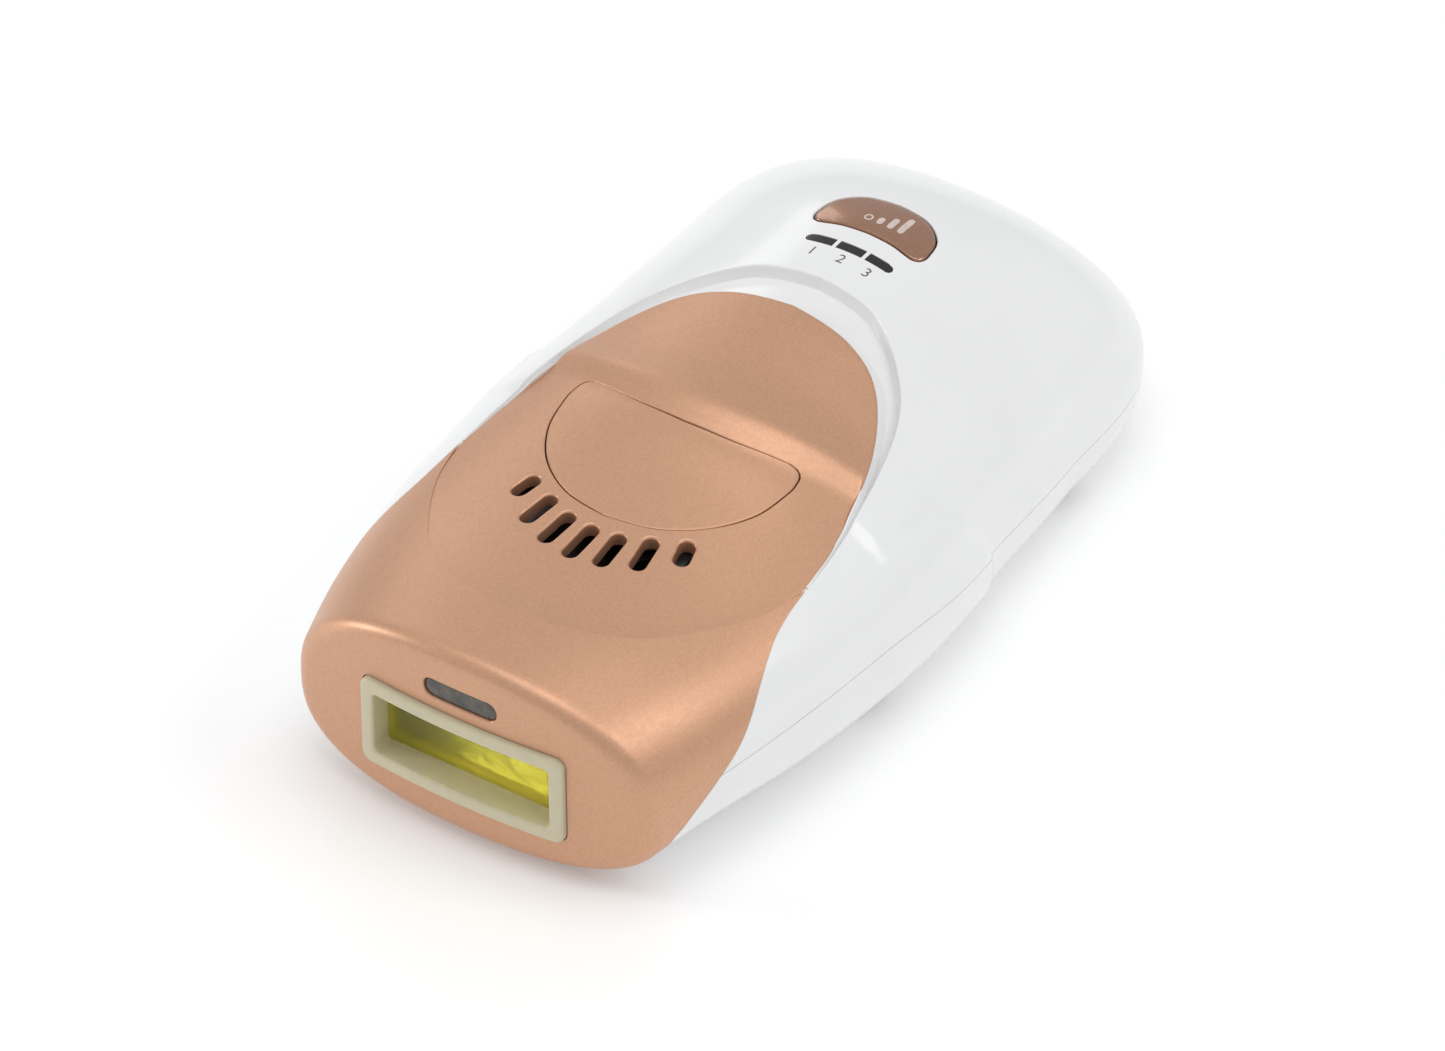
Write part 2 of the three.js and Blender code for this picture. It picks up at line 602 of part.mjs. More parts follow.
// ---- Cooling --------------------------------------------------------------------------------------
function fan() {
  const group = new THREE.Group();
  group.position.set(0, FAN_STATION, FAN_BASE);
  model.add(group);
  const half = FAN_SIZE / 2;
  const centre = (radius, low, high, sides) => upright(radius, low, high, 0, 0, sides);
  const spokes = [block([-half, -0.7, 0], [half, 0.7, 1]), block([-0.7, -half, 0], [0.7, half, 1])];
  const holes = FAN_SCREWS.map((side) => upright(1.2, -1, 9, side * FAN_CORNER, side * FAN_CORNER, 12));
  const frame = block([-half, -half, 0], [half, half, FAN_HEIGHT])
    .subtract(centre(11.6, -1, 9, 32))
    .add(joined(spokes))
    .add(centre(4.2, 0, 1.2, 20))
    .subtract(joined(holes));
  piece("fan_frame", frame, greyPlastic, group);
  piece("fan_stator", centre(2.6, 1.5, 5, 16), copperWire, group);

  const cup = centre(4.6, 1.6, 7.2, 24).subtract(centre(3.2, 1, 6, 20));
  const blades = [];
  for (let index = 0; index < FAN_BLADES; index++) {
    const blade = new THREE.BoxGeometry(6.9, 0.8, 5.4);
    blade.rotateX(0.7).translate(7.7, 0, 4.6).rotateZ((index / FAN_BLADES) * 2 * Math.PI);
    blades.push(solid(blade));
  }
  piece("fan_impeller", cup.add(joined(blades)), blackPlastic, group);
}

function airDuct() {
  const [front, rear] = [20.4, FAN_STATION + FAN_SIZE / 2];
  const [low, high] = [9, FAN_BASE - GAP];
  const shape = block([-12.5, front, low], [12.5, rear, high]);
  const space = block([-11.3, front - 1, low + 1.2], [11.3, rear - 1.2, high + 1]);
  const corners = FAN_SCREWS.map((side) => [side * FAN_CORNER, FAN_STATION + side * FAN_CORNER]);
  const posts = corners.map(([x, y]) => block([x - 2.2, y - 2.2, low + 0.5], [x + 2.2, y + 2.2, high]));
  const bores = corners.map(([x, y]) => upright(1.15, high - 5, high + 1, x, y, 10));
  piece("air_duct", shape.subtract(space).add(joined(posts)).subtract(joined(bores)), greyPlastic);
}

// ---- Screws ---------------------------------------------------------------------------------------
// A round-headed screw standing on its tip, with a cross recess in the head below it
function screw(name, head, shank, length) {
  const profile = [[0, 0], [head, 0], [head, 0.9], [shank, 1.4], [shank, length - 1], [0, length]];
  const turned = new THREE.LatheGeometry(profile.map(([r, z]) => new THREE.Vector2(r, z)), 10);
  const arm = head * 0.6;
  const slot = block([-arm, -1, -0.25], [arm, 0.6, 0.25]);
  const recess = slot.add(block([-0.25, -1, -arm], [0.25, 0.6, arm]));
  return piece(name, solid(turned).subtract(recess), steel);
}

// The lathe makes a screw that points along +Y; a turn about X points it up, or down
function placeScrew(mesh, position, pointing) {
  mesh.position.set(...position);
  mesh.rotation.x = { up: Math.PI / 2, down: -Math.PI / 2, front: Math.PI }[pointing];
}

function screws() {
  SHELL_SCREWS.forEach(([x, y], index) => {
    placeScrew(screw("shell_screw_" + (index + 1), 2.6, 1.35, 16), [x, y, 5.6], "up");
  });
  POWER_BOARD_SCREWS.forEach(([x, y], index) => {
    placeScrew(screw("board_screw_" + (index + 1), 2.2, 0.8, 5.6), [x, y, POWER_BOARD_TOP + 1.7], "down");
  });
  CONTROL_BOARD_SCREWS.forEach(([x, y], index) => {
    placeScrew(screw("roof_screw_" + (index + 1), 2.2, 0.85, 6.6), [x, y, BOARD_TOP - 3.3], "up");
  });
  FAN_SCREWS.forEach((side, index) => {
    const place = [side * FAN_CORNER, FAN_STATION + side * FAN_CORNER, FAN_BASE + FAN_HEIGHT + 1.7];
    placeScrew(screw("fan_screw_" + (index + 1), 2, 0.85, 13.5), place, "down");
  });
  HOLDER_SCREWS.forEach((x, index) => {
    placeScrew(screw("holder_screw_" + (index + 1), 2, 0.85, 7), [x, 11.5, HOLDER_SCREW_HEIGHT], "front");
  });
}

frontShell();
upperShell();
lowerShell();
lampFrame();
filter();
tube();
triggerWire();
reflectorTrough();
lampHolder();
lampLeads();
skinSensor();
pulseButton();
levelButton();
pushSwitch("pulse", PULSE_SWITCH_STATION);
pushSwitch("level", LEVEL_SWITCH_STATION);
indicators();
controlBoard();
powerBoard();
inlet();
fan();
airDuct();
screws();

export default model;
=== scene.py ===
import json
import math

import bpy
import numpy as np
from mathutils import Matrix, Vector


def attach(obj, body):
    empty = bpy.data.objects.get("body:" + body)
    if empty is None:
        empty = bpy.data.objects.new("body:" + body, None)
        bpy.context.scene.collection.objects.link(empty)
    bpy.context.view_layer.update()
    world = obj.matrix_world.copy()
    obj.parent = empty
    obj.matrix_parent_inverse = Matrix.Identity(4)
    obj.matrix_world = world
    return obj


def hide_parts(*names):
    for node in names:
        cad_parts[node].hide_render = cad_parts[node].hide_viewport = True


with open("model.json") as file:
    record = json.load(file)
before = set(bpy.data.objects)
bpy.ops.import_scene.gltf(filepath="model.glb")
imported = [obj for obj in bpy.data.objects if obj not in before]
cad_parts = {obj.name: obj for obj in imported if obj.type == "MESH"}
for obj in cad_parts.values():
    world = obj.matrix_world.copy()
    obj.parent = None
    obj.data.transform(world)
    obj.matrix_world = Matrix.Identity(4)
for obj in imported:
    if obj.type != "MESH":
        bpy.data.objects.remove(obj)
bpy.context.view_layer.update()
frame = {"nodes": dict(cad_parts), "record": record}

# Shapes are written in millimetres: x across, y from the treatment head's front to the rear, z up.
MM = 0.001
FRONT = -0.07085  # where the head's front lies along the frame's Y


# ---- Camera --------------------------------------------------------------------------------------
VIEW_TURN, VIEW_LIFT, VIEW_ROLL = 33.78, 40.97, -0.47  # degrees
VIEW_AIM = (0, -0.00035, 0.01692)
VIEW_DISTANCE, VIEW_SIDE, VIEW_UP = 1.7705, -0.001166, -0.00581
LENS, SENSOR, FAR_LIMIT = 298.96, 36, 20


def add_camera():
    turn, lift, roll = (math.radians(angle) for angle in (VIEW_TURN, VIEW_LIFT, VIEW_ROLL))
    back = Vector((math.sin(turn) * math.cos(lift), -math.cos(turn) * math.cos(lift), math.sin(lift)))
    side = Vector((math.cos(turn), math.sin(turn), 0))
    up = back.cross(side)
    side, up = side * math.cos(roll) + up * math.sin(roll), up * math.cos(roll) - side * math.sin(roll)
    eye = Vector(VIEW_AIM) + back * VIEW_DISTANCE + side * VIEW_SIDE + up * VIEW_UP
    bpy.ops.object.camera_add(location=eye)
    camera = bpy.context.object
    camera.name = "studio_camera"
    camera.matrix_world = Matrix.Translation(eye) @ Matrix((side, up, back)).transposed().to_4x4()
    camera.data.sensor_width = SENSOR
    camera.data.lens = LENS
    camera.data.clip_end = FAR_LIMIT
    bpy.context.scene.camera = camera


add_camera()

# ---- Driving dimensions --------------------------------------------------------------------------
LENGTH = 142.66
REAR_START = 108.3
PLAN_POWER = 3.4
PROFILE_POWER = 1.95
FACE_FILLET = 2.3
WALL = 2.2
HALF_WIDTH = [[0, 30.9], [14, 34.6], [32, 37.6], [50, 39.6], [68, 40.28], [88, 38.8], [108, 37]]
TOP = [[0, 34.9], [14, 35.1], [32, 35.3], [47, 36.6], [57, 38.2], [63, 39.7], [88, 39.9], [108, 39.5]]
PANEL_TOP = [[0, 34.9], [14, 35.1], [32, 35.3], [47, 36.5], [55.5, 37.75], [58.6, 38.25], [61.2, 39.35],
             [63.2, 39.85], [66, 39.75], [72, 39.5], [80, 39.7], [88, 39.9], [108, 39.5]]
BOTTOM = [[0, 1], [14, 3.8], [32, 1.6], [50, 0], [68, -0.4], [108, -0.4]]
WAIST = [[0, 15.2], [LENGTH, 13.1]]
TOP_POWER = [[0, 2.2], [20, 2.4], [38, 2.4], [60, 2.05], [88, 1.95], [LENGTH, 2.1]]
BOTTOM_POWER = [[0, 2.9], [LENGTH, 3.9]]
SEAM = [[-9, 17.5], [47, 17.5], [74, 14.6], [100, 12.6], [152, 11.4]]
HEAD_EDGE = [[7, -9], [7.2, 8], [9, 12], [14, 16.3], [20, 20.3], [27, 25.2], [33.3, 28], [39, 29.3],
             [45, 29.95]]
# Plan outlines from the notch beside the copper to the middle: the panel's edge and the scoop's rim
PANEL_REAR = [[30.3, 45], [28.1, 59.3], [24.2, 72], [18.3, 81.5], [10.6, 86], [0, 87.6]]
PANEL_FRONT = [[0, 13.2], [9.8, 14.9], [18.2, 19.7], [23.9, 27.4], [28.3, 36.2], [30.3, 45]]
SCOOP_RIM = [[30.4, 45], [28.7, 61.5], [24.6, 77.6], [19.2, 86.6], [10.4, 93.6], [0, 95.5]]
# Side view (y, z) of the edge of the raised grip on each flank
GRIP_EDGE = [[40, 32.4], [49.6, 30.2], [57.4, 28.7], [68.9, 26.2], [73.3, 24.7], [77.8, 20.2], [81.2, 13.4],
             [81.4, 4], [81.4, -9]]
GRIP_STEP = 0.75
BOW_DEPTH, BOW_WIDTH, BOW_LENGTH = 2.56, 28.2, 42
PANEL_CENTRE = 52.0
PANEL_EDGE, PLATE_DEPTH = 0.35, 2.0

# Gaps between neighbouring pieces
HEAD_GAP, SEAM_GAP, BAR_GAP, SENSOR_GAP, CAP_DRAFT = 0.14, 0.06, 0.08, 0.3, 0.12
LIP, PULSE_EDGE = 0.42, 0.16  # radii of the slots' mouths and of the edges at the pulse button
OVERLAP = 0.01  # a lip runs this far under the plate round it

# Half-moon of the pulse button: a round front, and a rear edge that dips towards the middle
PULSE_HALF = [[0, 37.6], [7.6, 39.15], [13.9, 43.5], [18, 49.8], [19.4, 56.2], [19.35, 58.9], [18.9, 60.2],
              [17.6, 60.75], [15.6, 60.35], [8, 58.9], [0, 58.4]]
SLOT_LENGTHS = [4.9, 6.9, 7.4, 7.7, 7.4, 6.9, 4.9]
SLOT_PITCH, SLOT_WIDTH, SLOT_AIM, SLOT_FRONT, SLOT_ARC = 4.6, 2.5, 92, 31.4, 0.033
RIM_BAND, RIM_RADIUS, SCOOP_DEPTH = 0.5, 0.38, 0.4

LEVEL_HALF = [[0, 108], [4.2, 107.75], [7.2, 107.15], [8.4, 107.05], [9.3, 107.6], [9.6, 109.2], [8.7, 112.8],
              [5.2, 115.7], [0, 116.6]]
LEVEL_CENTRE = (0, 111.6)
ICON_BARS, ICON_FRONT, ICON_DOT = ((0.1, 1.7), (1.95, 2.8), (3.75, 4.2)), 110.3, (-1.9, 110.95)
BAR_FRONT, BAR_REAR, BAR_CORNER, BAR_ARC = 102.4, 104.1, 0.85, 0.009
MIDDLE_BAR, OUTER_BAR = (-2.2, 2.2), (2.95, 7.5)
FIGURES, FIGURE_SIZE = (("1", -4.8, 99.9), ("2", 0, 100.3), ("3", 4.8, 99.9)), 2.8

LAMP_HEIGHT = 15.6
RING_WIDTH, RING_TALL, RING_CORNER = 35.2, 15.8, 1.6
RING_BAND, RING_EDGE, RING_INNER_CORNER, RING_PROUD = 2.35, 0.55, 0.8, 1.0
RING_HOLE = (35.6, 16.2, 1.9)
SENSOR_HEIGHT, SENSOR_SINK = 27.3, 0.42
TUBE_STATION, TUBE_RADIUS, TUBE_LENGTH = 10.5, 2.3, 38
WIRE_RADIUS, WIRE_TURNS, WIRE_HALF = 0.15, 5, 14
TROUGH_HALF, TROUGH_MOUTH, TROUGH_APEX, TROUGH_THICK, TROUGH_WIDE = 6.1, 5.7, 15.4, 0.5, 16.4

INLET_HEIGHT, INLET_HOLE = 13.2, 3.8
SHELL_SCREWS, SCREW_HOLE = [[-31, 58], [31, 58], [-29.4, 112], [29.4, 112]], 3.1


# ---- Curves and the body's form ------------------------------------------------------------------
def smoothed(points, steps=40):
    """A curve that passes through every point."""
    p = np.array(points, float)
    ends = np.vstack([p[:1], p, p[-1:]])
    out = []
    for k in range(len(p) - 1):
        a, b, c, d = ends[k:k + 4]
        t = np.linspace(0, 1, steps, endpoint=False)[:, None]
        u, v = (c - a) / 2, (d - b) / 2
        out.append((2 * b - 2 * c + u + v) * t ** 3 + (3 * c - 3 * b - 2 * u - v) * t ** 2 + u * t + b)
    out.append(p[-1:])
    return np.vstack(out)


def along(points):
    dense = smoothed(points)
    return lambda y: np.interp(y, dense[:, 0], dense[:, 1])


half_width, top, bottom, waist = along(HALF_WIDTH), along(TOP), along(BOTTOM), along(WAIST)
top_power, bottom_power, panel_top = along(TOP_POWER), along(BOTTOM_POWER), along(PANEL_TOP)


def ease(value, low, high):
    t = np.clip((value - low) / (high - low), 0, 1)
    return t * t * (3 - 2 * t)


def bow(x, y):
    """How far back the face's bow pushes a point."""
    return BOW_DEPTH * np.clip(1 - y / BOW_LENGTH, 0, None) ** 1.5 * (x / BOW_WIDTH) ** 2


def rear_shares(y):
    rear = np.clip((y - REAR_START) / (LENGTH - REAR_START), 0, 1)
    return (1 - rear ** PLAN_POWER) ** (1 / PLAN_POWER), (1 - rear ** PROFILE_POWER) ** (1 / PROFILE_POWER)


GRIP_LINE = smoothed(GRIP_EDGE, 12)


def inside_grip(y, z):
    """1 on the raised grip, 0 outside it, with a soft step between."""
    a, b = GRIP_LINE[:-1], GRIP_LINE[1:]
    p = np.stack([y, z], -1)[:, None, :]
    t = np.clip(((p - a) * (b - a)).sum(-1) / ((b - a) ** 2).sum(-1), 0, 1)
    near = a + (b - a) * t[..., None]
    gap = np.linalg.norm(p - near, axis=-1)
    nearest = gap.argmin(1)
    run = (b - a)[nearest]
    off = p[:, 0] - a[nearest]
    side = run[:, 0] * off[:, 1] - run[:, 1] * off[:, 0]
    return ease(-np.sign(side) * gap.min(1), -0.9, 0.9)


def roof(x, y, heights=top):
    """Height of the body's top at a place in plan."""
    x, y = np.asarray(x, float), np.asarray(y, float)
    station = y
    for _ in range(4):
        station = y - bow(x, station)
    plan, profile = rear_shares(station)
    power = top_power(station)
    share = np.clip(np.abs(x) / (half_width(station) * plan), 0, 0.9999)
    rise = heights(station) if heights is top else heights(y - 0.0066 * x * x * np.exp(-((y - 62) / 8) ** 2))
    low = waist(station)
    return low + (rise - low) * profile * (1 - share ** power) ** (1 / power)


# ---- Modelling tools -----------------------------------------------------------------------------
def alone(piece):
    bpy.ops.object.select_all(action="DESELECT")
    piece.select_set(True)
    bpy.context.view_layer.objects.active = piece
    return piece


def named(name):
    piece = bpy.context.object
    piece.name = name
    piece.data.name = name
    return alone(piece)


def points_of(piece):
    co = np.zeros(len(piece.data.vertices) * 3)
    piece.data.vertices.foreach_get("co", co)
    return co.reshape(-1, 3)


def set_points(piece, x, y, z):
    place = np.stack([x * MM, y * MM + FRONT, z * MM], -1)
    piece.data.vertices.foreach_set("co", place.ravel())
    piece.data.update()


def edit(piece, *steps):
    alone(piece)
    bpy.ops.object.mode_set(mode="EDIT")
    bpy.ops.mesh.select_all(action="SELECT")
    for step in steps:
        step()
    bpy.ops.object.mode_set(mode="OBJECT")


def face_outwards():
    bpy.ops.mesh.select_all(action="SELECT")
    bpy.ops.mesh.normals_make_consistent(inside=False)


def laid_ball(name, rings, columns, place):
    """A ball whose rings are laid where place(ring, turn) says; turn goes from 0 to 1 round a ring."""
    alone_nothing()
    bpy.ops.mesh.primitive_uv_sphere_add(segments=columns, ring_count=rings, radius=1)
    piece = named(name)
    co = points_of(piece)
    ring = np.rint(np.arccos(np.clip(co[:, 2], -1, 1)) / math.pi * rings).astype(int)
    turn = (np.arctan2(co[:, 1], co[:, 0]) / (2 * math.pi)) % 1
    set_points(piece, *place(ring, turn))
    edit(piece, face_outwards)
    return piece


def laid_ring(name, around, section, place):
    """A closed ring whose vertices lie where place(turn, index in the section) says."""
    alone_nothing()
    bpy.ops.mesh.primitive_torus_add(major_segments=around, minor_segments=section,
                                     major_radius=1, minor_radius=0.25)
    piece = named(name)
    co = points_of(piece)
    turn = (np.arctan2(co[:, 1], co[:, 0]) / (2 * math.pi)) % 1
    small = np.arctan2(co[:, 2], np.hypot(co[:, 0], co[:, 1]) - 1) / (2 * math.pi)
    index = np.floor((small % 1) * section + 0.25).astype(int) % section
    set_points(piece, *place(turn, index))
    edit(piece, face_outwards)
    return piece


def alone_nothing():
    bpy.ops.object.select_all(action="DESELECT")


def prism(outline, low, high, view="plan"):
    """A cutter: an outline drawn in plan (x, y), from the side (y, z) or the front (x, z), extruded."""
    alone_nothing()
    bpy.ops.mesh.primitive_circle_add(vertices=len(outline), radius=1, fill_type="NGON")
    piece = named("cutter")
    a, b = np.array(outline, float).T
    level = np.full(len(a), float(low))
    order = {"plan": (a, b, level), "side": (level, a, b), "front": (a, level, b)}[view]
    set_points(piece, *order)
    depth = (high - low) * MM
    run = {"plan": (0, 0, depth), "side": (depth, 0, 0), "front": (0, depth, 0)}[view]
    edit(piece, lambda: bpy.ops.mesh.extrude_region_move(TRANSFORM_OT_translate={"value": run}), face_outwards)
    return piece


def cut(piece, cutter, operation="DIFFERENCE"):
    alone(piece)
    change = piece.modifiers.new("cut", "BOOLEAN")
    change.operation = operation
    change.solver = "MANIFOLD"
    change.object = cutter
    bpy.ops.object.modifier_apply(modifier=change.name)
    bpy.data.objects.remove(cutter)
    return piece


def join(first, *others):
    alone(first)
    for other in others:
        other.select_set(True)
    bpy.ops.object.join()
    return alone(first)


def smooth(piece, angle=32):
    alone(piece)
    bpy.ops.object.shade_smooth_by_angle(angle=math.radians(angle))
    return piece


def finish_piece(piece, material, body, slot, *nodes):
    piece.data.materials.clear()
    piece.data.materials.append(material)
    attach(piece, body)
    if nodes:
        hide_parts(*nodes)
    return piece


# ---- Skins and plates ----------------------------------------------------------------------------
def skin(name, columns, rows, inset=0.0, grip=True):
    """The body's closed skin; rows are (station, extra inset, share of the section)."""
    table = np.array(rows, float)

    def place(ring, turn):
        y, extra, share = table[ring].T
        angle = turn * 2 * math.pi
        c, s = np.cos(angle), np.sin(angle)
        pull = inset + extra
        power = np.where(s > 0, top_power(y), bottom_power(y))
        reach = (np.abs(c) ** power + np.abs(s) ** power) ** (-1 / power)
        plan, profile = rear_shares(y)
        middle = waist(y)
        rise = np.where(s > 0, top(y) - pull - middle, middle - bottom(y) - pull)
        x = (half_width(y) - pull) * plan * reach * c * share
        z = middle + rise * profile * reach * s * share
        if grip:
            band = ease(y, 47, 62) * (1 - ease(y, 84, 106)) * (1 - ease(z, 26.8, 29.7))
            x = x - np.sign(x) * GRIP_STEP * band * (1 - inside_grip(y, z)) * np.abs(c) ** 0.5
        squeeze = (LENGTH - 2 * inset) / LENGTH
        return x, inset + y * squeeze + bow(x, y), np.maximum(z, inset)

    return laid_ball(name, len(rows) - 1, columns, place)


def skin_rows(step, rear_count, fillet_count, face_count):
    face = [(0, FACE_FILLET, share) for share in np.linspace(0, 1, face_count, endpoint=False)]
    sweep = np.linspace(0, math.pi / 2, fillet_count)
    fillet = [(FACE_FILLET * (1 - math.cos(a)), FACE_FILLET * (1 - math.sin(a)), 1) for a in sweep]
    straight = [(y, 0, 1) for y in np.arange(FACE_FILLET + step, REAR_START - step / 2, step)]
    shares = np.sin(np.linspace(0, math.pi / 2, rear_count)) ** 0.8
    rear = [(REAR_START + (LENGTH - REAR_START) * share, 0, 1) for share in shares]
    return face + fillet + straight + rear


def hollow_skin(name, *counts):
    """The body's skin with its inside cut out."""
    hollow = skin("hollow", 72, skin_rows(4, 9, 3, 3), WALL, False)
    return cut(skin(name, COLUMNS, skin_rows(ROW_STEP, *counts)), hollow)


def head_region(clearance):
    edge = smoothed(HEAD_EDGE, 12) + np.array([clearance, 0])
    outline = [[-9, -9], *edge.tolist(), [45 + clearance, 60], [-9, 60]]
    return prism(outline, -60, 60, "side")


def both_sides(half):
    """A right-hand outline and its mirror image, from the right-hand start to the left-hand one."""
    half = np.array(half)
    return np.vstack([half, (half * [-1, 1])[-2::-1]])


def mirrored(half):
    """A closed outline from its right-hand half, which starts and ends on the middle line."""
    return np.vstack([half, (half * [-1, 1])[-2:0:-1]])


def panel_outline():
    return mirrored(np.vstack([smoothed(PANEL_FRONT)[:-1], smoothed(PANEL_REAR)]))


def outline_about(centre, outline_reach):
    """A closed outline from its distances to a centre."""
    spread = np.linspace(0, 2 * math.pi, 240, endpoint=False)
    reach = outline_reach(spread)
    return np.stack([centre[0] + reach * np.cos(spread), centre[1] + reach * np.sin(spread)], -1)


def outward(ring):
    """The outward unit normals along a closed outline."""
    step = np.roll(ring, -1, 0) - np.roll(ring, 1, 0)
    normal = np.stack([step[:, 1], -step[:, 0]], -1) / np.linalg.norm(step, axis=1)[:, None]
    area = (ring[:, 0] * np.roll(ring[:, 1], -1) - np.roll(ring[:, 0], -1) * ring[:, 1]).sum()
    return normal if area > 0 else -normal


def polar(outline, centre):
    """Distance from a centre to a closed outline, as a function of the direction."""
    off = np.array(outline) - np.array(centre)
    angle = np.arctan2(off[:, 1], off[:, 0])
    order = angle.argsort()
    angle, reach = angle[order], np.hypot(off[:, 0], off[:, 1])[order]
    angle = np.concatenate([angle - 2 * math.pi, angle, angle + 2 * math.pi])
    reach = np.concatenate([reach, reach, reach])
    return lambda direction: np.interp(direction, angle, reach)


panel_reach = polar(panel_outline(), (0, PANEL_CENTRE))


def panel_height(x, y):
    """Top of the copper panel: the body's top, sunk a little inside the front crease."""
    x, y = np.asarray(x, float), np.asarray(y, float)
    off = y - PANEL_CENTRE
    reach = panel_reach(np.arctan2(off, x))
    inward = np.clip(reach - np.hypot(x, off), 0, None)
    sunk = (0.1 + 0.42 * (1 - np.exp(-inward / 3.2))) * (1 - ease(y, 36, 60))
    dip = 0.25 * np.exp(-((y - 73) / 7) ** 2) * np.exp(-(x / 17) ** 2)
    return roof(x, y, panel_top) - sunk - dip


def plate(name, reach_at, centre, height_at, columns, rings, edge, depth, grow=None, draft=0.0):
    """A plate with a rounded edge whose top follows height_at inside an outline round a centre."""
    tops = np.linspace(0, 1, rings)
    turns = np.linspace(0, math.pi / 2, 5)[1:]
    rows = [(share, 0.0, 0.0) for share in tops]
    rows += [(1.0, edge * math.sin(a), edge * (1 - math.cos(a))) for a in turns]
    rows += [(1.0, edge - draft, depth), (0.6, edge, depth), (0.0, edge, depth)]
    table = np.array(rows)

    def place(ring, turn):
        share, out, down = table[ring].T
        angle = turn * 2 * math.pi
        extra = grow(angle) if grow else 0
        reach = (reach_at(angle) + extra - edge) * share + out * (share > 0.99)
        x = centre[0] + reach * np.cos(angle)
        y = centre[1] + reach * np.sin(angle)
        return x, y, height_at(x, y) - down

    return laid_ball(name, len(rows) - 1, columns, place)


def lip(name, outline, place_on, radius, depth, land=0.0):
    """The rounded mouth and the wall of an opening whose inner outline is given."""
    ring = np.array(outline, float)
    normal = outward(ring)
    arc = np.linspace(0, math.pi / 2, 7)
    section = [(radius * (1 - math.sin(a)), radius * (1 - math.cos(a))) for a in arc]
    section += [(0, depth * 0.6), (0, depth), (radius + land, depth), (radius + land, depth * 0.5)]
    section += [(radius + land, 0)] * (land > 0)
    table = np.array(section)

    def place(turn, index):
        out, down = table[index].T
        at = turn * len(ring)
        nearest = np.floor(at + 0.25).astype(int) % len(ring)
        spot = ring[nearest] + normal[nearest] * out[:, None]
        return place_on(spot[:, 0], spot[:, 1], down)

    return laid_ring(name, len(ring), len(section), place)


def rounded(width, height, radius, x=0.0, y=0.0, corner=8, side=1):
    """A rectangle's outline with round corners, anticlockwise, with extra points along its sides."""
    w, h = width / 2 - radius, height / 2 - radius
    out = []
    for quarter, (cx, cy) in enumerate([(w, h), (-w, h), (-w, -h), (w, -h)]):
        for k in range(corner + 1):
            a = (quarter + k / corner) * math.pi / 2
            out.append([cx + radius * math.cos(a), cy + radius * math.sin(a)])
        if side > 1:
            nxt = [(-w, h), (-w, -h), (w, -h), (w, h)][quarter]
            a = (quarter + 1) * math.pi / 2
            end = [nxt[0] + radius * math.cos(a), nxt[1] + radius * math.sin(a)]
            start = out[-1]
            for k in range(1, side):
                out.append([p + (q - p) * k / side for p, q in zip(start, end)])
    return np.array(out) + [x, y]


def turned(outline, angle, x, y):
    c, s = math.cos(angle), math.sin(angle)
    return np.array(outline) @ np.array([[c, s], [-s, c]]) + [x, y]


def offset(outline, distance):
    ring = np.array(outline, float)
    return ring + outward(ring) * distance


def disc(radius, x, y, count=48):
    a = np.linspace(0, 2 * math.pi, count, endpoint=False)
    return np.stack([x + radius * np.cos(a), y + radius * np.sin(a)], -1)


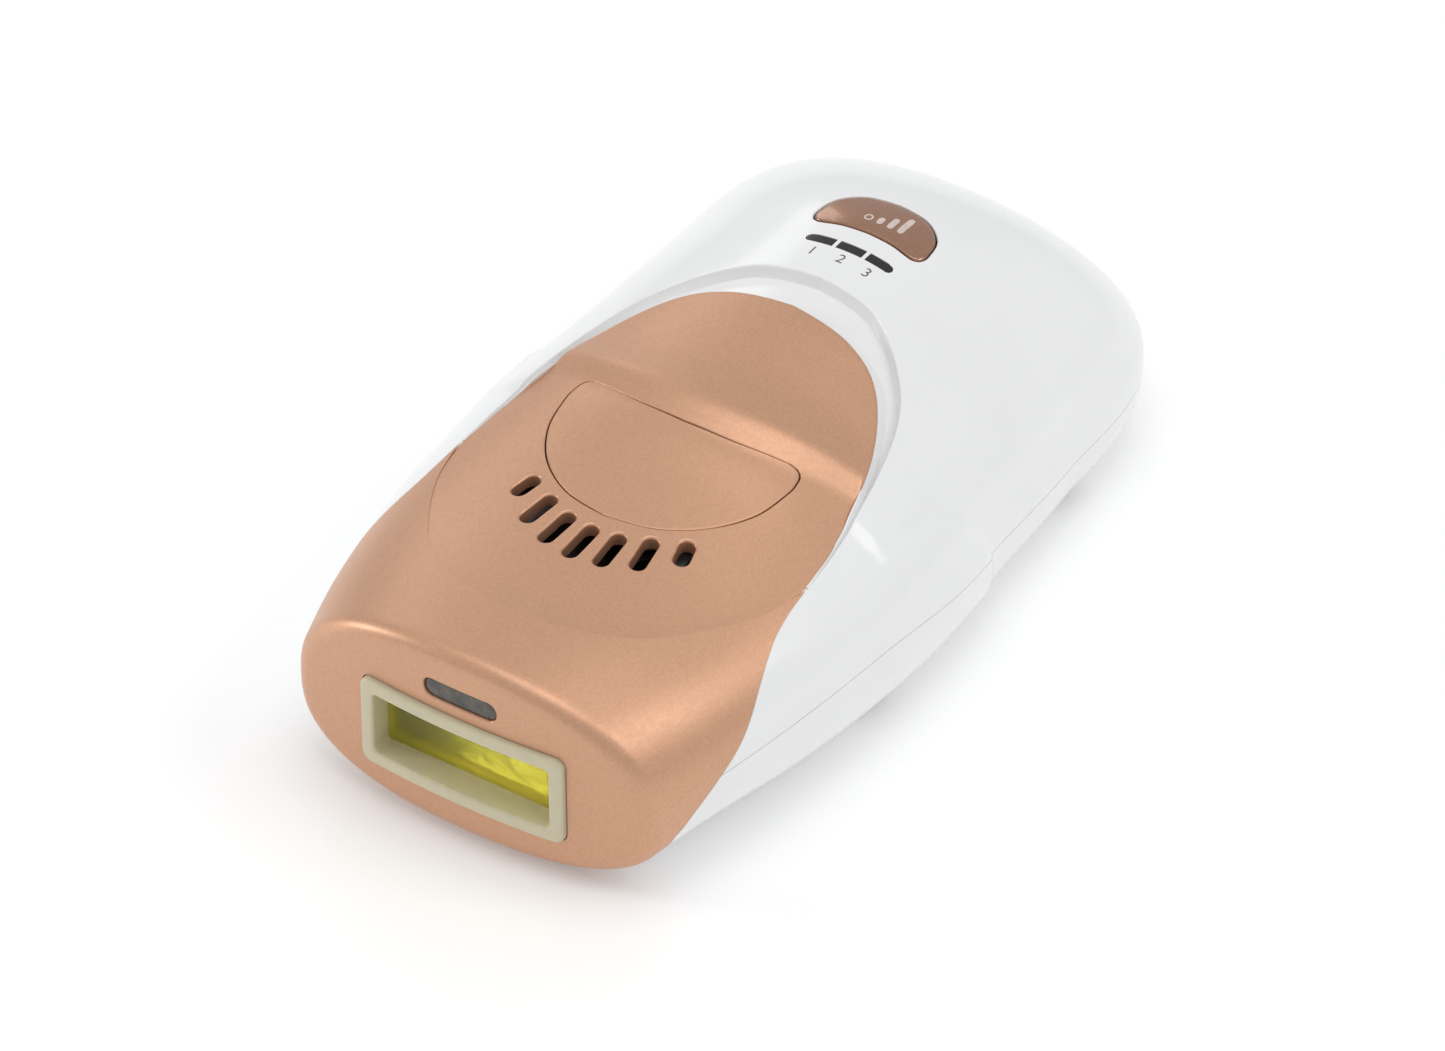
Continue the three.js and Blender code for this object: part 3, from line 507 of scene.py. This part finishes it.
# ---- Materials -----------------------------------------------------------------------------------
class Finish:
    """One procedural material: a Principled shader fed by patterns on Object coordinates."""

    def __init__(self, name, color, roughness, metallic=0.0, **sockets):
        self.material = bpy.data.materials.new(name)
        self.material.use_nodes = True
        self.nodes, self.links = self.material.node_tree.nodes, self.material.node_tree.links
        self.shader = self.nodes["Principled BSDF"]
        self.color = color
        self.roughness = roughness
        self.shader.inputs["Metallic"].default_value = metallic
        for socket, value in sockets.items():
            self.shader.inputs[socket.replace("_", " ")].default_value = value
        self.place = self.nodes.new("ShaderNodeTexCoord").outputs["Object"]

    def pattern(self, kind, place=None, **values):
        node = self.nodes.new(kind)
        for socket, value in values.items():
            node.inputs[socket].default_value = value
        self.links.new(place or self.place, node.inputs["Vector"])
        return node

    def noise(self, scale, detail=2.0, roughness=0.5, place=None):
        node = self.pattern("ShaderNodeTexNoise", place, Scale=scale, Detail=detail, Roughness=roughness)
        return node.outputs["Fac"]

    def flakes(self, scale):
        grey = self.nodes.new("ShaderNodeRGBToBW")
        cells = self.pattern("ShaderNodeTexVoronoi", Scale=scale)
        self.links.new(cells.outputs["Color"], grey.inputs["Color"])
        return grey.outputs["Val"]

    def bands(self, scale, direction="X", distortion=0.0):
        node = self.pattern("ShaderNodeTexWave", Scale=scale, Distortion=distortion)
        node.bands_direction = direction
        return node.outputs["Fac"]

    def stretched(self, scale):
        return self.pattern("ShaderNodeMapping", Scale=scale).outputs["Vector"]

    def spread(self, value, low, high, start=0.3, end=0.7):
        node = self.nodes.new("ShaderNodeMapRange")
        node.inputs["From Min"].default_value = start
        node.inputs["From Max"].default_value = end
        node.inputs["To Min"].default_value = low
        node.inputs["To Max"].default_value = high
        self.links.new(value, node.inputs["Value"])
        return node.outputs["Result"]

    def tint(self, value, dark, light):
        """The base colour runs between a darker and a lighter share of the finish's own colour."""
        shades = [[min(1, part * share) for part in self.color] for share in (dark, light)]
        return self.two_tone(value, *shades, 0.3, 0.7)

    def two_tone(self, value, first, second, low, high):
        ramp = self.nodes.new("ShaderNodeValToRGB")
        for element, position, color in zip(ramp.color_ramp.elements, (low, high), (first, second)):
            element.position = position
            element.color = [*color, 1]
        self.links.new(value, ramp.inputs["Fac"])
        self.links.new(ramp.outputs["Color"], self.shader.inputs["Base Color"])
        return self

    def gloss(self, value, swing):
        result = self.spread(value, self.roughness - swing, self.roughness + swing)
        self.links.new(result, self.shader.inputs["Roughness"])
        return self

    def relief(self, value, strength, depth):
        bump = self.nodes.new("ShaderNodeBump")
        bump.inputs["Strength"].default_value = strength
        bump.inputs["Distance"].default_value = depth
        self.links.new(value, bump.inputs["Height"])
        self.links.new(bump.outputs["Normal"], self.shader.inputs["Normal"])
        return self


def satin_copper():
    f = Finish("satin_copper_lacquer", (0.63, 0.35, 0.215), 0.42, 0.62, Coat_Weight=0.15, Coat_Roughness=0.3)
    speckle = f.flakes(5200)
    f.tint(speckle, 0.95, 1.05).gloss(f.noise(900, 3), 0.03)
    return f.relief(f.noise(5200, 2), 0.12, 0.00003).material


def gloss_copper():
    f = Finish("gloss_copper_lacquer", (0.40, 0.205, 0.13), 0.22, 0.75, Coat_Weight=0.8, Coat_Roughness=0.06)
    f.tint(f.flakes(5200), 0.93, 1.07).gloss(f.noise(700, 2), 0.03)
    return f.relief(f.noise(320, 1), 0.05, 0.00003).material


def white_moulding():
    f = Finish("white_gloss_moulding", (0.83, 0.83, 0.83), 0.2, Coat_Weight=0.35, Coat_Roughness=0.08)
    f.tint(f.noise(60, 3), 0.985, 1.015).gloss(f.noise(240, 3), 0.03)
    return f.relief(f.noise(260, 1), 0.02, 0.00002).material


def ivory_moulding():
    f = Finish("ivory_heat_moulding", (0.60, 0.55, 0.38), 0.42)
    f.tint(f.noise(500, 3), 0.97, 1.03).gloss(f.noise(1500, 2), 0.05)
    return f.relief(f.noise(3600, 2), 0.1, 0.00003).material


def filter_glass():
    f = Finish("yellow_green_filter", (0.86, 0.83, 0.16), 0.02, Transmission_Weight=0.97, IOR=1.45)
    return f.tint(f.noise(90, 2), 0.96, 1.04).relief(f.noise(40, 1), 0.02, 0.00002).material


def clear_glass():
    f = Finish("clear_tube_glass", (0.93, 0.95, 0.92), 0.02, Transmission_Weight=0.95, IOR=1.46)
    return f.tint(f.noise(200, 2), 0.97, 1.03).gloss(f.noise(800), 0.01).material


def smoky_window():
    f = Finish("smoky_window", (0.11, 0.095, 0.075), 0.12, Coat_Weight=0.5, Coat_Roughness=0.05)
    mottled = f.noise(620, 4, 0.6, f.stretched((1, 1, 0.6)))
    f.two_tone(mottled, (0.02, 0.016, 0.011), (0.10, 0.08, 0.052), 0.42, 0.72)
    return f.gloss(f.noise(900), 0.04).relief(f.noise(900), 0.04, 0.00002).material


def moulded(name, color, roughness=0.4, grain=2400):
    f = Finish(name, color, roughness)
    f.tint(f.noise(700, 3), 0.93, 1.07).gloss(f.noise(grain, 2), 0.06)
    return f.relief(f.noise(grain, 2), 0.15, 0.00004).material


def brushed(name, color, roughness=0.3):
    f = Finish(name, color, roughness, 1.0)
    lines = f.noise(900, 4, 0.6, f.stretched((0.15, 1, 6)))
    f.tint(lines, 0.9, 1.08).gloss(lines, 0.08)
    return f.relief(lines, 0.08, 0.00003).material


def circuit_board():
    f = Finish("green_circuit_board", (0.02, 0.12, 0.06), 0.35)
    tracks = f.bands(260, "X", 9.0)
    f.two_tone(tracks, (0.016, 0.1, 0.05), (0.04, 0.19, 0.09), 0.52, 0.6)
    return f.gloss(f.noise(900), 0.06).relief(tracks, 0.2, 0.00004).material


def wound_wire():
    f = Finish("enamelled_winding", (0.45, 0.16, 0.06), 0.3, 0.8)
    turns = f.bands(900, "Y")
    f.tint(turns, 0.55, 1.15).gloss(f.noise(900), 0.05)
    return f.relief(turns, 0.6, 0.0001).material


def sleeve():
    f = Finish("capacitor_sleeve", (0.03, 0.045, 0.09), 0.28)
    f.tint(f.noise(300, 3), 0.85, 1.15).gloss(f.noise(900), 0.05)
    return f.relief(f.noise(120, 2), 0.1, 0.0001).material


FINISHES = {
    "satin_copper": satin_copper(),
    "gloss_copper": gloss_copper(),
    "white_shell": white_moulding(),
    "ivory_frame": ivory_moulding(),
    "filter": filter_glass(),
    "tube_glass": clear_glass(),
    "smoky_window": smoky_window(),
    "black_plastic": moulded("black_moulding", (0.012, 0.011, 0.011), 0.38),
    "dark_lens": moulded("dark_lens_moulding", (0.016, 0.013, 0.014), 0.16, 900),
    "grey_plastic": moulded("grey_moulding", (0.27, 0.28, 0.29), 0.45),
    "heat_plastic": moulded("heat_proof_moulding", (0.05, 0.047, 0.045), 0.6, 1500),
    "circuit_board": circuit_board(),
    "steel": brushed("plated_steel", (0.5, 0.5, 0.52)),
    "mirror_metal": brushed("mirror_reflector", (0.85, 0.85, 0.84), 0.09),
    "winding_wire": wound_wire(),
    "ferrite": moulded("sintered_ferrite", (0.05, 0.05, 0.055), 0.65, 1800),
    "capacitor_sleeve": sleeve(),
    "led_white": moulded("led_body", (0.85, 0.85, 0.8), 0.25, 900),
    "lead_rubber": moulded("silicone_lead", (0.4, 0.05, 0.03), 0.5, 1200),
}
PRINT_GREY = moulded("printed_grey", (0.13, 0.13, 0.125), 0.35)
PRINT_PALE = moulded("printed_pale", (0.62, 0.52, 0.47), 0.35)
# The trigger wire's finish is a darkened, brownish copy of the steel: painted shade of the dim lamp cavity
# behind the filter
WIRE_PAINTED_SHADE = brushed("shaded_steel_wire", (0.09, 0.07, 0.04), 0.4)


# ---- Copper head, panel and buttons --------------------------------------------------------------
COLUMNS = 260
ROW_STEP = 0.85
PANEL_COLUMNS = 300
PANEL_RINGS = 84
CAP_COLUMNS = 240
CAP_RINGS = 54
SCOOP_STEPS, SCOOP_ROWS = ((80, 240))


def slot_outline(index, grow=0.0):
    x = (index - 3) * SLOT_PITCH
    middle = SLOT_FRONT + SLOT_ARC * x * x
    wide, long = SLOT_WIDTH + 2 * grow, SLOT_LENGTHS[index] + 2 * grow
    plain = rounded(wide, long, SLOT_WIDTH / 2 + grow - 0.01, 0, 0, 12, 5)
    return turned(plain, math.atan2(x, SLOT_AIM - middle), x, middle)


pulse_reach = polar(mirrored(smoothed(PULSE_HALF, 16)), (0, PANEL_CENTRE))


def pulse_gap(angle):
    """The groove round the button is open at the left and the rear, and fades out at the front right."""
    degrees = np.degrees(angle) % 360
    closed = ease(degrees, 254, 276) * (1 - ease(degrees, 326, 350))
    return 0.2 - 0.15 * closed


def copper_head():
    head = hollow_skin("head_shell", 26, 7, 20)
    cut(head, head_region(0), "INTERSECT")
    cut(head, prism(panel_outline()[::2], 21, 70))
    cut(head, prism(rounded(*RING_HOLE, 0, LAMP_HEIGHT, 8), -9, 9, "front"))
    cut(head, prism(offset(sensor_outline(), SENSOR_GAP), -9, 9, "front"))
    smooth(head)

    panel = plate("panel", panel_reach, (0, PANEL_CENTRE), panel_height, PANEL_COLUMNS, PANEL_RINGS,
                  PANEL_EDGE, PLATE_DEPTH, panel_grow)
    for index in range(len(SLOT_LENGTHS)):
        cut(panel, prism(slot_outline(index, LIP - OVERLAP), 26, 60))
    mouth = outline_about((0, PANEL_CENTRE), lambda angle: pulse_reach(angle) + pulse_gap(angle))
    cut(panel, prism(offset(mouth, PULSE_EDGE - OVERLAP), 26, 60))
    smooth(panel, 40)

    lips = [smooth(lip("pulse_mouth", mouth, on_panel, PULSE_EDGE, PLATE_DEPTH), 50)]
    for index in range(len(SLOT_LENGTHS)):
        lips.append(smooth(lip("slot_lip", slot_outline(index), on_panel, LIP, WALL), 50))
    lips.append(smooth(lip("sensor_lip", sensor_outline(), on_face, SENSOR_GAP, WALL), 50))
    join(head, panel, *lips)
    finish_piece(head, FINISHES["satin_copper"], "housing", "satin_copper", "front_shell")


def panel_grow(angle):
    """In front of the notches the panel's edge runs on under the head's own edge."""
    degrees = np.degrees(angle) % 360
    return 0.75 * ease(degrees, 196, 212) * (1 - ease(degrees, 328, 344)) - 0.02


def on_panel(x, y, down):
    return x, y, panel_height(x, y) - down


def on_face(x, z, down):
    return x, bow(x, 0 * x) + down, z


def on_roof(x, y, down):
    return x, y, roof(x, y) - down


def sensor_outline():
    return rounded(12.6, 3.4, 1.5, 0, SENSOR_HEIGHT, 10, 6)


def pulse_cap():
    cap = plate("pulse_cap", pulse_reach, (0, PANEL_CENTRE), panel_height, CAP_COLUMNS, CAP_RINGS,
                PULSE_EDGE, PLATE_DEPTH, draft=CAP_DRAFT)
    smooth(cap, 50)
    finish_piece(cap, FINISHES["satin_copper"], "pulse_button", "satin_copper", "pulse_button")


# ---- White shells --------------------------------------------------------------------------------
level_outline = mirrored(smoothed(LEVEL_HALF, 16))
level_reach = polar(level_outline, LEVEL_CENTRE)


def bar_outline(index, grow=0.0):
    """An indicator window: the middle one square, the outer ones rounded on their outer side."""
    side = index - 1
    inner, outer = OUTER_BAR if side else MIDDLE_BAR
    low, high = BAR_FRONT - grow, BAR_REAR + grow
    inner, outer = inner - grow, outer + grow
    if side:
        turn = outer - BAR_CORNER
        right = [[x, low] for x in np.linspace(inner, turn, 8)[:-1]]
        right += [[turn + BAR_CORNER * math.cos(a), low + BAR_CORNER + BAR_CORNER * math.sin(a)]
                  for a in np.linspace(-math.pi / 2, math.pi / 2, 14)]
        right += [[x, high] for x in np.linspace(turn, inner, 8)[1:]]
    else:
        right = [[x, low] for x in np.linspace(inner, outer, 8)]
        right += [[x, high] for x in np.linspace(outer, inner, 8)]
    shape = np.array(right)
    shape[:, 0] *= side or 1
    shape[:, 1] -= BAR_ARC * shape[:, 0] ** 2
    return shape if side >= 0 else shape[::-1]


def inlet_hole():
    return prism(disc(INLET_HOLE, 0, INLET_HEIGHT), 132, 150, "front")


def white_top():
    shell = hollow_skin("top_shell", 34, 7, 6)
    cut(shell, head_region(HEAD_GAP))
    cut(shell, seam_region(SEAM_GAP))
    cut(shell, prism(scoop_lines(40, RIM_BAND)[0], 20, 70))
    cut(shell, prism(offset(level_outline, 0.5), 30, 60))
    for index in range(3):
        cut(shell, prism(bar_outline(index, BAR_GAP), 30, 60))
    cut(shell, inlet_hole())
    smooth(shell)
    mouth = smooth(lip("level_mouth", offset(level_outline, 0.25), on_roof, 0.27, WALL), 50)
    join(shell, smooth(scoop(), 50), mouth)
    finish_piece(shell, FINISHES["white_shell"], "housing", "white_shell", "upper_shell")


def seam_region(clearance):
    edge = smoothed(SEAM, 14) + np.array([0, clearance])
    return prism([[-9, -9], *edge.tolist(), [152, -9]], -60, 60, "side")


def scoop_lines(steps, outwards=0.0):
    """The scoop's rim, moved outwards a little, and the unit steps and distances from it to the panel."""
    rim, edge = both_sides(smoothed(SCOOP_RIM, steps)), both_sides(smoothed(PANEL_REAR, steps))
    span = np.linalg.norm(edge - rim, axis=1)
    inward = (edge - rim) / span[:, None]
    return rim - inward * (outwards * np.clip(span / 2, 0, 1))[:, None], inward, span


def scoop():
    """The rounded rim and the hollowed crescent between it and the copper panel, as one strip."""
    rim, inward, span = scoop_lines(SCOOP_STEPS)
    round_over = np.linspace(0, 1.4, 7)
    floor = np.linspace(0, 1, 26)[1:] ** 1.25
    parts = [(-1, 0), (-0.5, 0)] + [(0, a) for a in round_over]
    parts += [(1, t) for t in floor] + [(2, 0), (3, 0), (4, 0)]
    table = np.array(parts, float)
    at = np.linspace(0, 1, len(rim))

    def place(ring, turn):
        index = np.floor(turn * len(table) + 0.25).astype(int) % len(table)
        part, share = table[index].T
        v = 0.001 + 0.998 * ring / SCOOP_ROWS
        start = np.stack([np.interp(v, at, rim[:, 0]), np.interp(v, at, rim[:, 1])], -1)
        step = np.stack([np.interp(v, at, inward[:, 0]), np.interp(v, at, inward[:, 1])], -1)
        wide = np.interp(v, at, span)
        radius = np.minimum(RIM_RADIUS, 0.3 * wide)
        over, fall = radius * np.sin(round_over[-1]), radius * (1 - np.cos(round_over[-1]))
        band = (RIM_BAND + 0.05) * np.clip(wide / 2, 0, 1)
        hollow = SCOOP_DEPTH * wide * (0.85 * np.sin(math.pi * share ** 0.62) + 0.25 * share)
        out = np.select([part < 0, part == 0, part == 1, part == 2, part == 3],
                        [part * band, radius * np.sin(share), over + (wide - over) * share,
                         wide + 0.4, wide + 0.4], -band)
        down = np.select([part < 0, part == 0, part == 1, part == 2],
                         [0 * share, radius * (1 - np.cos(share)), fall + hollow,
                          fall + SCOOP_DEPTH * wide * 0.25], 2.0)
        spot = start + step * out[:, None]
        return spot[:, 0], spot[:, 1], roof(spot[:, 0], spot[:, 1]) - down - 0.004

    return laid_ball("scoop", SCOOP_ROWS, len(table), place)


def white_tray():
    tray = hollow_skin("tray_shell", 34, 7, 6)
    cut(tray, head_region(HEAD_GAP))
    cut(tray, seam_region(-SEAM_GAP), "INTERSECT")
    for x, y in SHELL_SCREWS:
        cut(tray, prism(disc(SCREW_HOLE, x, y), -1, 9))
    cut(tray, inlet_hole())
    smooth(tray)
    finish_piece(tray, FINISHES["white_shell"], "housing", "white_shell", "lower_shell")


def level_cap():
    def height(x, y):
        return roof(x, y) + 0.06 + 0.12 * (1 - (np.hypot(x / 9.4, (y - LEVEL_CENTRE[1]) / 5)) ** 2).clip(0)

    cap = plate("level_cap", level_reach, LEVEL_CENTRE, height, 200, 22, 0.4, 2.4)
    smooth(cap, 50)
    finish_piece(cap, FINISHES["gloss_copper"], "level_button", "gloss_copper", "level_button")

    def print_height(x, y):
        return height(x, y) + 0.035

    marks = []
    for x, tall in ICON_BARS:
        middle = (x, ICON_FRONT + tall / 2)
        outline = rounded(1.0, tall, 0.49, *middle, 8, 6)
        marks.append(plate("level_icon", polar(outline, middle), middle, print_height, 96, 6, 0.04, 0.2))
    marks.append(lip("level_icon", disc(0.45, *ICON_DOT),
                     lambda x, y, down: (x, y, print_height(x, y) - down), 0.02, 0.2, 0.26))
    icon = smooth(join(*marks), 50)
    finish_piece(icon, PRINT_PALE, "level_button", "gloss_copper")


def indicators():
    for index in range(3):
        shape = bar_outline(index)
        centre = shape.mean(0)
        window = plate(f"level_bar_{index + 1}", polar(shape, centre), centre,
                       lambda x, y: roof(x, y) - 0.07, 120, 8, 0.1, 1.4)
        smooth(window, 50)
        finish_piece(window, FINISHES["dark_lens"], "housing", "dark_lens", f"level_lens_{index + 1}")
    for figure, x, y in FIGURES:
        alone_nothing()
        bpy.ops.object.text_add(location=(0, 0, 0))
        text = bpy.context.object
        text.data.body = figure
        text.data.size = FIGURE_SIZE
        text.data.align_x = "CENTER"
        text.data.align_y = "CENTER"
        text.data.extrude = 0.05
        text.data.offset = -0.01
        text.data.resolution_u = 6
        bpy.ops.object.convert(target="MESH")
        digit = named(f"level_figure_{figure}")
        co = points_of(digit)
        set_points(digit, co[:, 0] + x, co[:, 1] + y, roof(co[:, 0] + x, co[:, 1] + y) + co[:, 2] * 0.5)
        smooth(digit)
        finish_piece(digit, PRINT_GREY, "housing", "white_shell")


# ---- Light window --------------------------------------------------------------------------------
def lamp_ring():
    edge, inside = RING_EDGE, RING_BAND
    arc = np.linspace(0, math.pi / 2, 6)
    section = [(0, 6.1), (0, 3.0)]
    section += [(edge * (1 - math.cos(a)), edge * (1 - math.sin(a))) for a in arc]
    section += [(inside - edge + edge * math.sin(a), edge * (1 - math.cos(a))) for a in arc]
    section += [(inside + 0.05, 2.2), (inside + 0.12, 4.9), (inside + 0.12, 6.1)]
    table = np.array(section)
    ring = rounded(RING_WIDTH, RING_TALL, RING_CORNER, 0, LAMP_HEIGHT, 8, 26)
    inner = rounded(RING_WIDTH - 2 * inside, RING_TALL - 2 * inside, RING_INNER_CORNER, 0, LAMP_HEIGHT, 8, 26)

    def place(turn, index):
        nearest = np.floor(turn * len(ring) + 0.25).astype(int) % len(ring)
        share = table[index, 0] / inside
        spot = ring[nearest] + (inner[nearest] - ring[nearest]) * share[:, None]
        back = table[index, 1]
        front = bow(spot[:, 0], 0 * spot[:, 0]) - RING_PROUD
        return spot[:, 0], front * (1 - ease(back, 3, 6)) + back, spot[:, 1]

    piece = laid_ring("lamp_ring", len(ring), len(section), place)
    smooth(piece, 50)
    finish_piece(piece, FINISHES["ivory_frame"], "housing", "ivory_frame", "lamp_frame")


def sensor_lens():
    centre = (0, SENSOR_HEIGHT)
    reach = polar(sensor_outline(), centre)
    table = np.array([(share, 0.0) for share in np.linspace(0, 0.94, 9)]
                     + [(0.98, 0.03), (1, 0.12), (1, 1.2), (0, 1.2)])

    def place(ring, turn):
        share, down = table[ring].T
        angle = turn * 2 * math.pi
        far = (reach(angle) - 0.04) * share
        x, z = centre[0] + far * np.cos(angle), centre[1] + far * np.sin(angle)
        return x, bow(x, 0 * x) + SENSOR_SINK + down, z

    lens = laid_ball("sensor_lens", len(table) - 1, 120, place)
    smooth(lens, 50)
    finish_piece(lens, FINISHES["smoky_window"], "housing", "smoky_window", "sensor_window")


def lamp_inside():
    alone_nothing()
    bpy.ops.mesh.primitive_cylinder_add(vertices=64, radius=TUBE_RADIUS * MM, depth=TUBE_LENGTH * MM,
                                        location=(0, TUBE_STATION * MM + FRONT, LAMP_HEIGHT * MM),
                                        rotation=(0, math.pi / 2, 0))
    tube = named("flash_tube_glass")
    bpy.ops.object.transform_apply(location=True, rotation=True, scale=True)
    bevel = tube.modifiers.new("rounded ends", "BEVEL")
    bevel.width, bevel.segments, bevel.limit_method = 0.5 * MM, 4, "ANGLE"
    bpy.ops.object.modifier_apply(modifier=bevel.name)
    smooth(tube)
    finish_piece(tube, FINISHES["tube_glass"], "housing", "tube_glass", "flash_tube")

    # The ignition wire hangs in loose turns between the tube and the filter
    steps = 260
    t = np.linspace(0, 1, steps + 1)
    angle = t * WIRE_TURNS * 2 * math.pi
    line = np.stack([WIRE_HALF * (2 * t - 1) + 1.3 * np.sin(angle * 0.5 + 1),
                     TUBE_STATION - 3.9 + 0.9 * np.cos(angle), LAMP_HEIGHT - 2.7 + 2.1 * np.sin(angle)], -1)
    tangent = np.gradient(line, axis=0)
    tangent /= np.linalg.norm(tangent, axis=1)[:, None]
    side = np.cross(tangent, [1, 0, 0.001])
    side /= np.linalg.norm(side, axis=1)[:, None]
    up = np.cross(tangent, side)

    def place(ring, turn):
        a = turn * 2 * math.pi
        pole = (ring == 0) | (ring == steps)
        r = np.where(pole, 0, WIRE_RADIUS)[:, None]
        spot = line[ring] + r * (side[ring] * np.cos(a)[:, None] + up[ring] * np.sin(a)[:, None])
        return spot[:, 0], spot[:, 1], spot[:, 2]

    wire = laid_ball("ignition_wire", steps, 10, place)
    smooth(wire, 60)
    # The wire wears the darkened steel, painted shade of the lamp cavity
    finish_piece(wire, WIRE_PAINTED_SHADE, "housing", "steel", "trigger_wire")

    # Parabolic trough behind the tube
    def wall(half, apex, span):
        return [[TROUGH_MOUTH + (apex - TROUGH_MOUTH) * (1 - s * s), LAMP_HEIGHT + half * s] for s in span]

    span = np.linspace(-1, 1, 33)
    inner = wall(TROUGH_HALF, TROUGH_APEX, span)
    outer = wall(TROUGH_HALF + TROUGH_THICK, TROUGH_APEX + TROUGH_THICK, span[::-1])
    trough = prism(inner + outer, -TROUGH_WIDE, TROUGH_WIDE, "side")
    trough.name = trough.data.name = "reflector_trough"
    smooth(trough)
    finish_piece(trough, FINISHES["mirror_metal"], "housing", "mirror_metal", "reflector")


# ---- Rear socket and screws ----------------------------------------------------------------------
def socket():
    radius, inner, front, rear, floor = 3.45, 2.7, 128.0, 142.1, 132.4
    table = np.array([(radius, rear - 0.4), (radius - 0.15, rear - 0.1), (radius - 0.4, rear),
                      (inner + 0.35, rear), (inner + 0.1, rear - 0.12), (inner, rear - 0.4),
                      (inner, floor + 0.1), (inner * 0.5, floor), (0.12, floor), (0.12, front),
                      (radius * 0.6, front), (radius, front + 0.3)])

    def place(turn, index):
        a = turn * 2 * math.pi
        r, y = table[index].T
        return r * np.cos(a), y, INLET_HEIGHT + r * np.sin(a)

    barrel = laid_ring("socket_barrel", 72, len(table), place)
    rows = np.array([(0, 141.2), (0.5, 141.1), (0.8, 140.7), (0.9, 140.2), (0.9, 132), (0, 132)])

    def pin_place(ring, turn):
        a = turn * 2 * math.pi
        r, y = rows[ring].T
        return r * np.cos(a), y, INLET_HEIGHT + r * np.sin(a)

    pin = laid_ball("pin", len(rows) - 1, 32, pin_place)
    join(barrel, pin)
    smooth(barrel, 40)
    finish_piece(barrel, FINISHES["black_plastic"], "housing", "black_plastic", "dc_inlet")


def shell_screws():
    rows = np.array([(0, 5.75), (1.6, 5.72), (2.2, 5.8), (2.5, 6.05), (2.6, 6.4), (2.6, 6.6), (1.35, 7.0),
                     (1.3, 21), (0, 21.6)])

    def place(ring, turn):
        a = turn * 2 * math.pi
        r, z = rows[ring].T
        return r * np.cos(a), r * np.sin(a), z

    screw = laid_ball("screw", len(rows) - 1, 48, place)
    for w, d in ((1.45, 0.25), (0.25, 1.45)):
        cut(screw, prism([[-w, -d], [w, -d], [w, d], [-w, d]], 5, 6.5))
    for number, (x, y) in enumerate(SHELL_SCREWS, 1):
        alone(screw)
        bpy.ops.object.duplicate(linked=False)
        copy = named(f"shell_screw_head_{number}")
        bpy.ops.transform.translate(value=(x * MM, y * MM, 0))
        bpy.ops.object.transform_apply(location=True, rotation=True, scale=True)
        smooth(copy, 35)
        finish_piece(copy, FINISHES["steel"], "housing", "steel", f"shell_screw_{number}")
    bpy.data.objects.remove(screw)


# ---- CAD nodes that stay -------------------------------------------------------------------------
def dress_nodes():
    slots = {row["node"]: row["material_slot"] for row in frame["record"]["subparts"]}
    for name, node in frame["nodes"].items():
        node.data.materials.clear()
        node.data.materials.append(FINISHES[slots[name]])


# ---- Studio --------------------------------------------------------------------------------------
def area_light(name, place, aim, width, height, watts, color=(1, 1, 1)):
    alone_nothing()
    bpy.ops.object.light_add(type="AREA", location=place)
    light = bpy.context.object
    light.name = name
    light.data.shape = "RECTANGLE"
    light.data.size, light.data.size_y = width, height
    light.data.energy = watts
    light.data.color = color
    light.rotation_euler = (Vector(aim) - Vector(place)).to_track_quat("-Z", "Y").to_euler()


def studio():
    alone_nothing()
    bpy.ops.mesh.primitive_plane_add(size=6, location=(0, 0, -0.0002))
    floor = named("studio_floor")
    f = Finish("pale_floor", (0.93, 0.93, 0.93), 0.7, Emission_Color=(1, 1, 1, 1), Emission_Strength=0.12)
    floor.data.materials.append(f.tint(f.noise(3, 2), 0.998, 1.002).material)
    world = bpy.data.worlds.new("studio_sky")
    world.use_nodes = True
    sky = world.node_tree.nodes["Background"].inputs
    sky["Color"].default_value = (0.98, 0.99, 1, 1)
    sky["Strength"].default_value = 0.62
    bpy.context.scene.world = world
    middle = (0, 0, 0.02)
    area_light("top_softbox", (0.05, -0.05, 1.1), middle, 0.8, 0.8, 3.2)
    area_light("right_softbox", (0.78, 0.22, 0.8), middle, 0.5, 0.5, 2.0)
    area_light("left_softbox", (-0.95, -0.42, 0.34), middle, 0.2, 0.2, 2.0)
    area_light("rear_left_softbox", (-0.75, 0.62, 0.5), middle, 0.35, 0.25, 0.35)
    # Daylight that has come in through the filter and falls on the trough
    window = (0.003, 0.0064 + FRONT, (LAMP_HEIGHT + 5) * MM)
    trough = (0.003, 0.0100 + FRONT, (LAMP_HEIGHT - 3) * MM)
    area_light("daylight_through_filter", window, trough, 0.022, 0.0025, 0.0012, (1, 0.9, 0.45))
    bpy.context.scene.view_settings.view_transform = "Standard"


dress_nodes()
copper_head()
pulse_cap()
white_top()
white_tray()
level_cap()
indicators()
lamp_ring()
sensor_lens()
lamp_inside()
socket()
shell_screws()
studio()
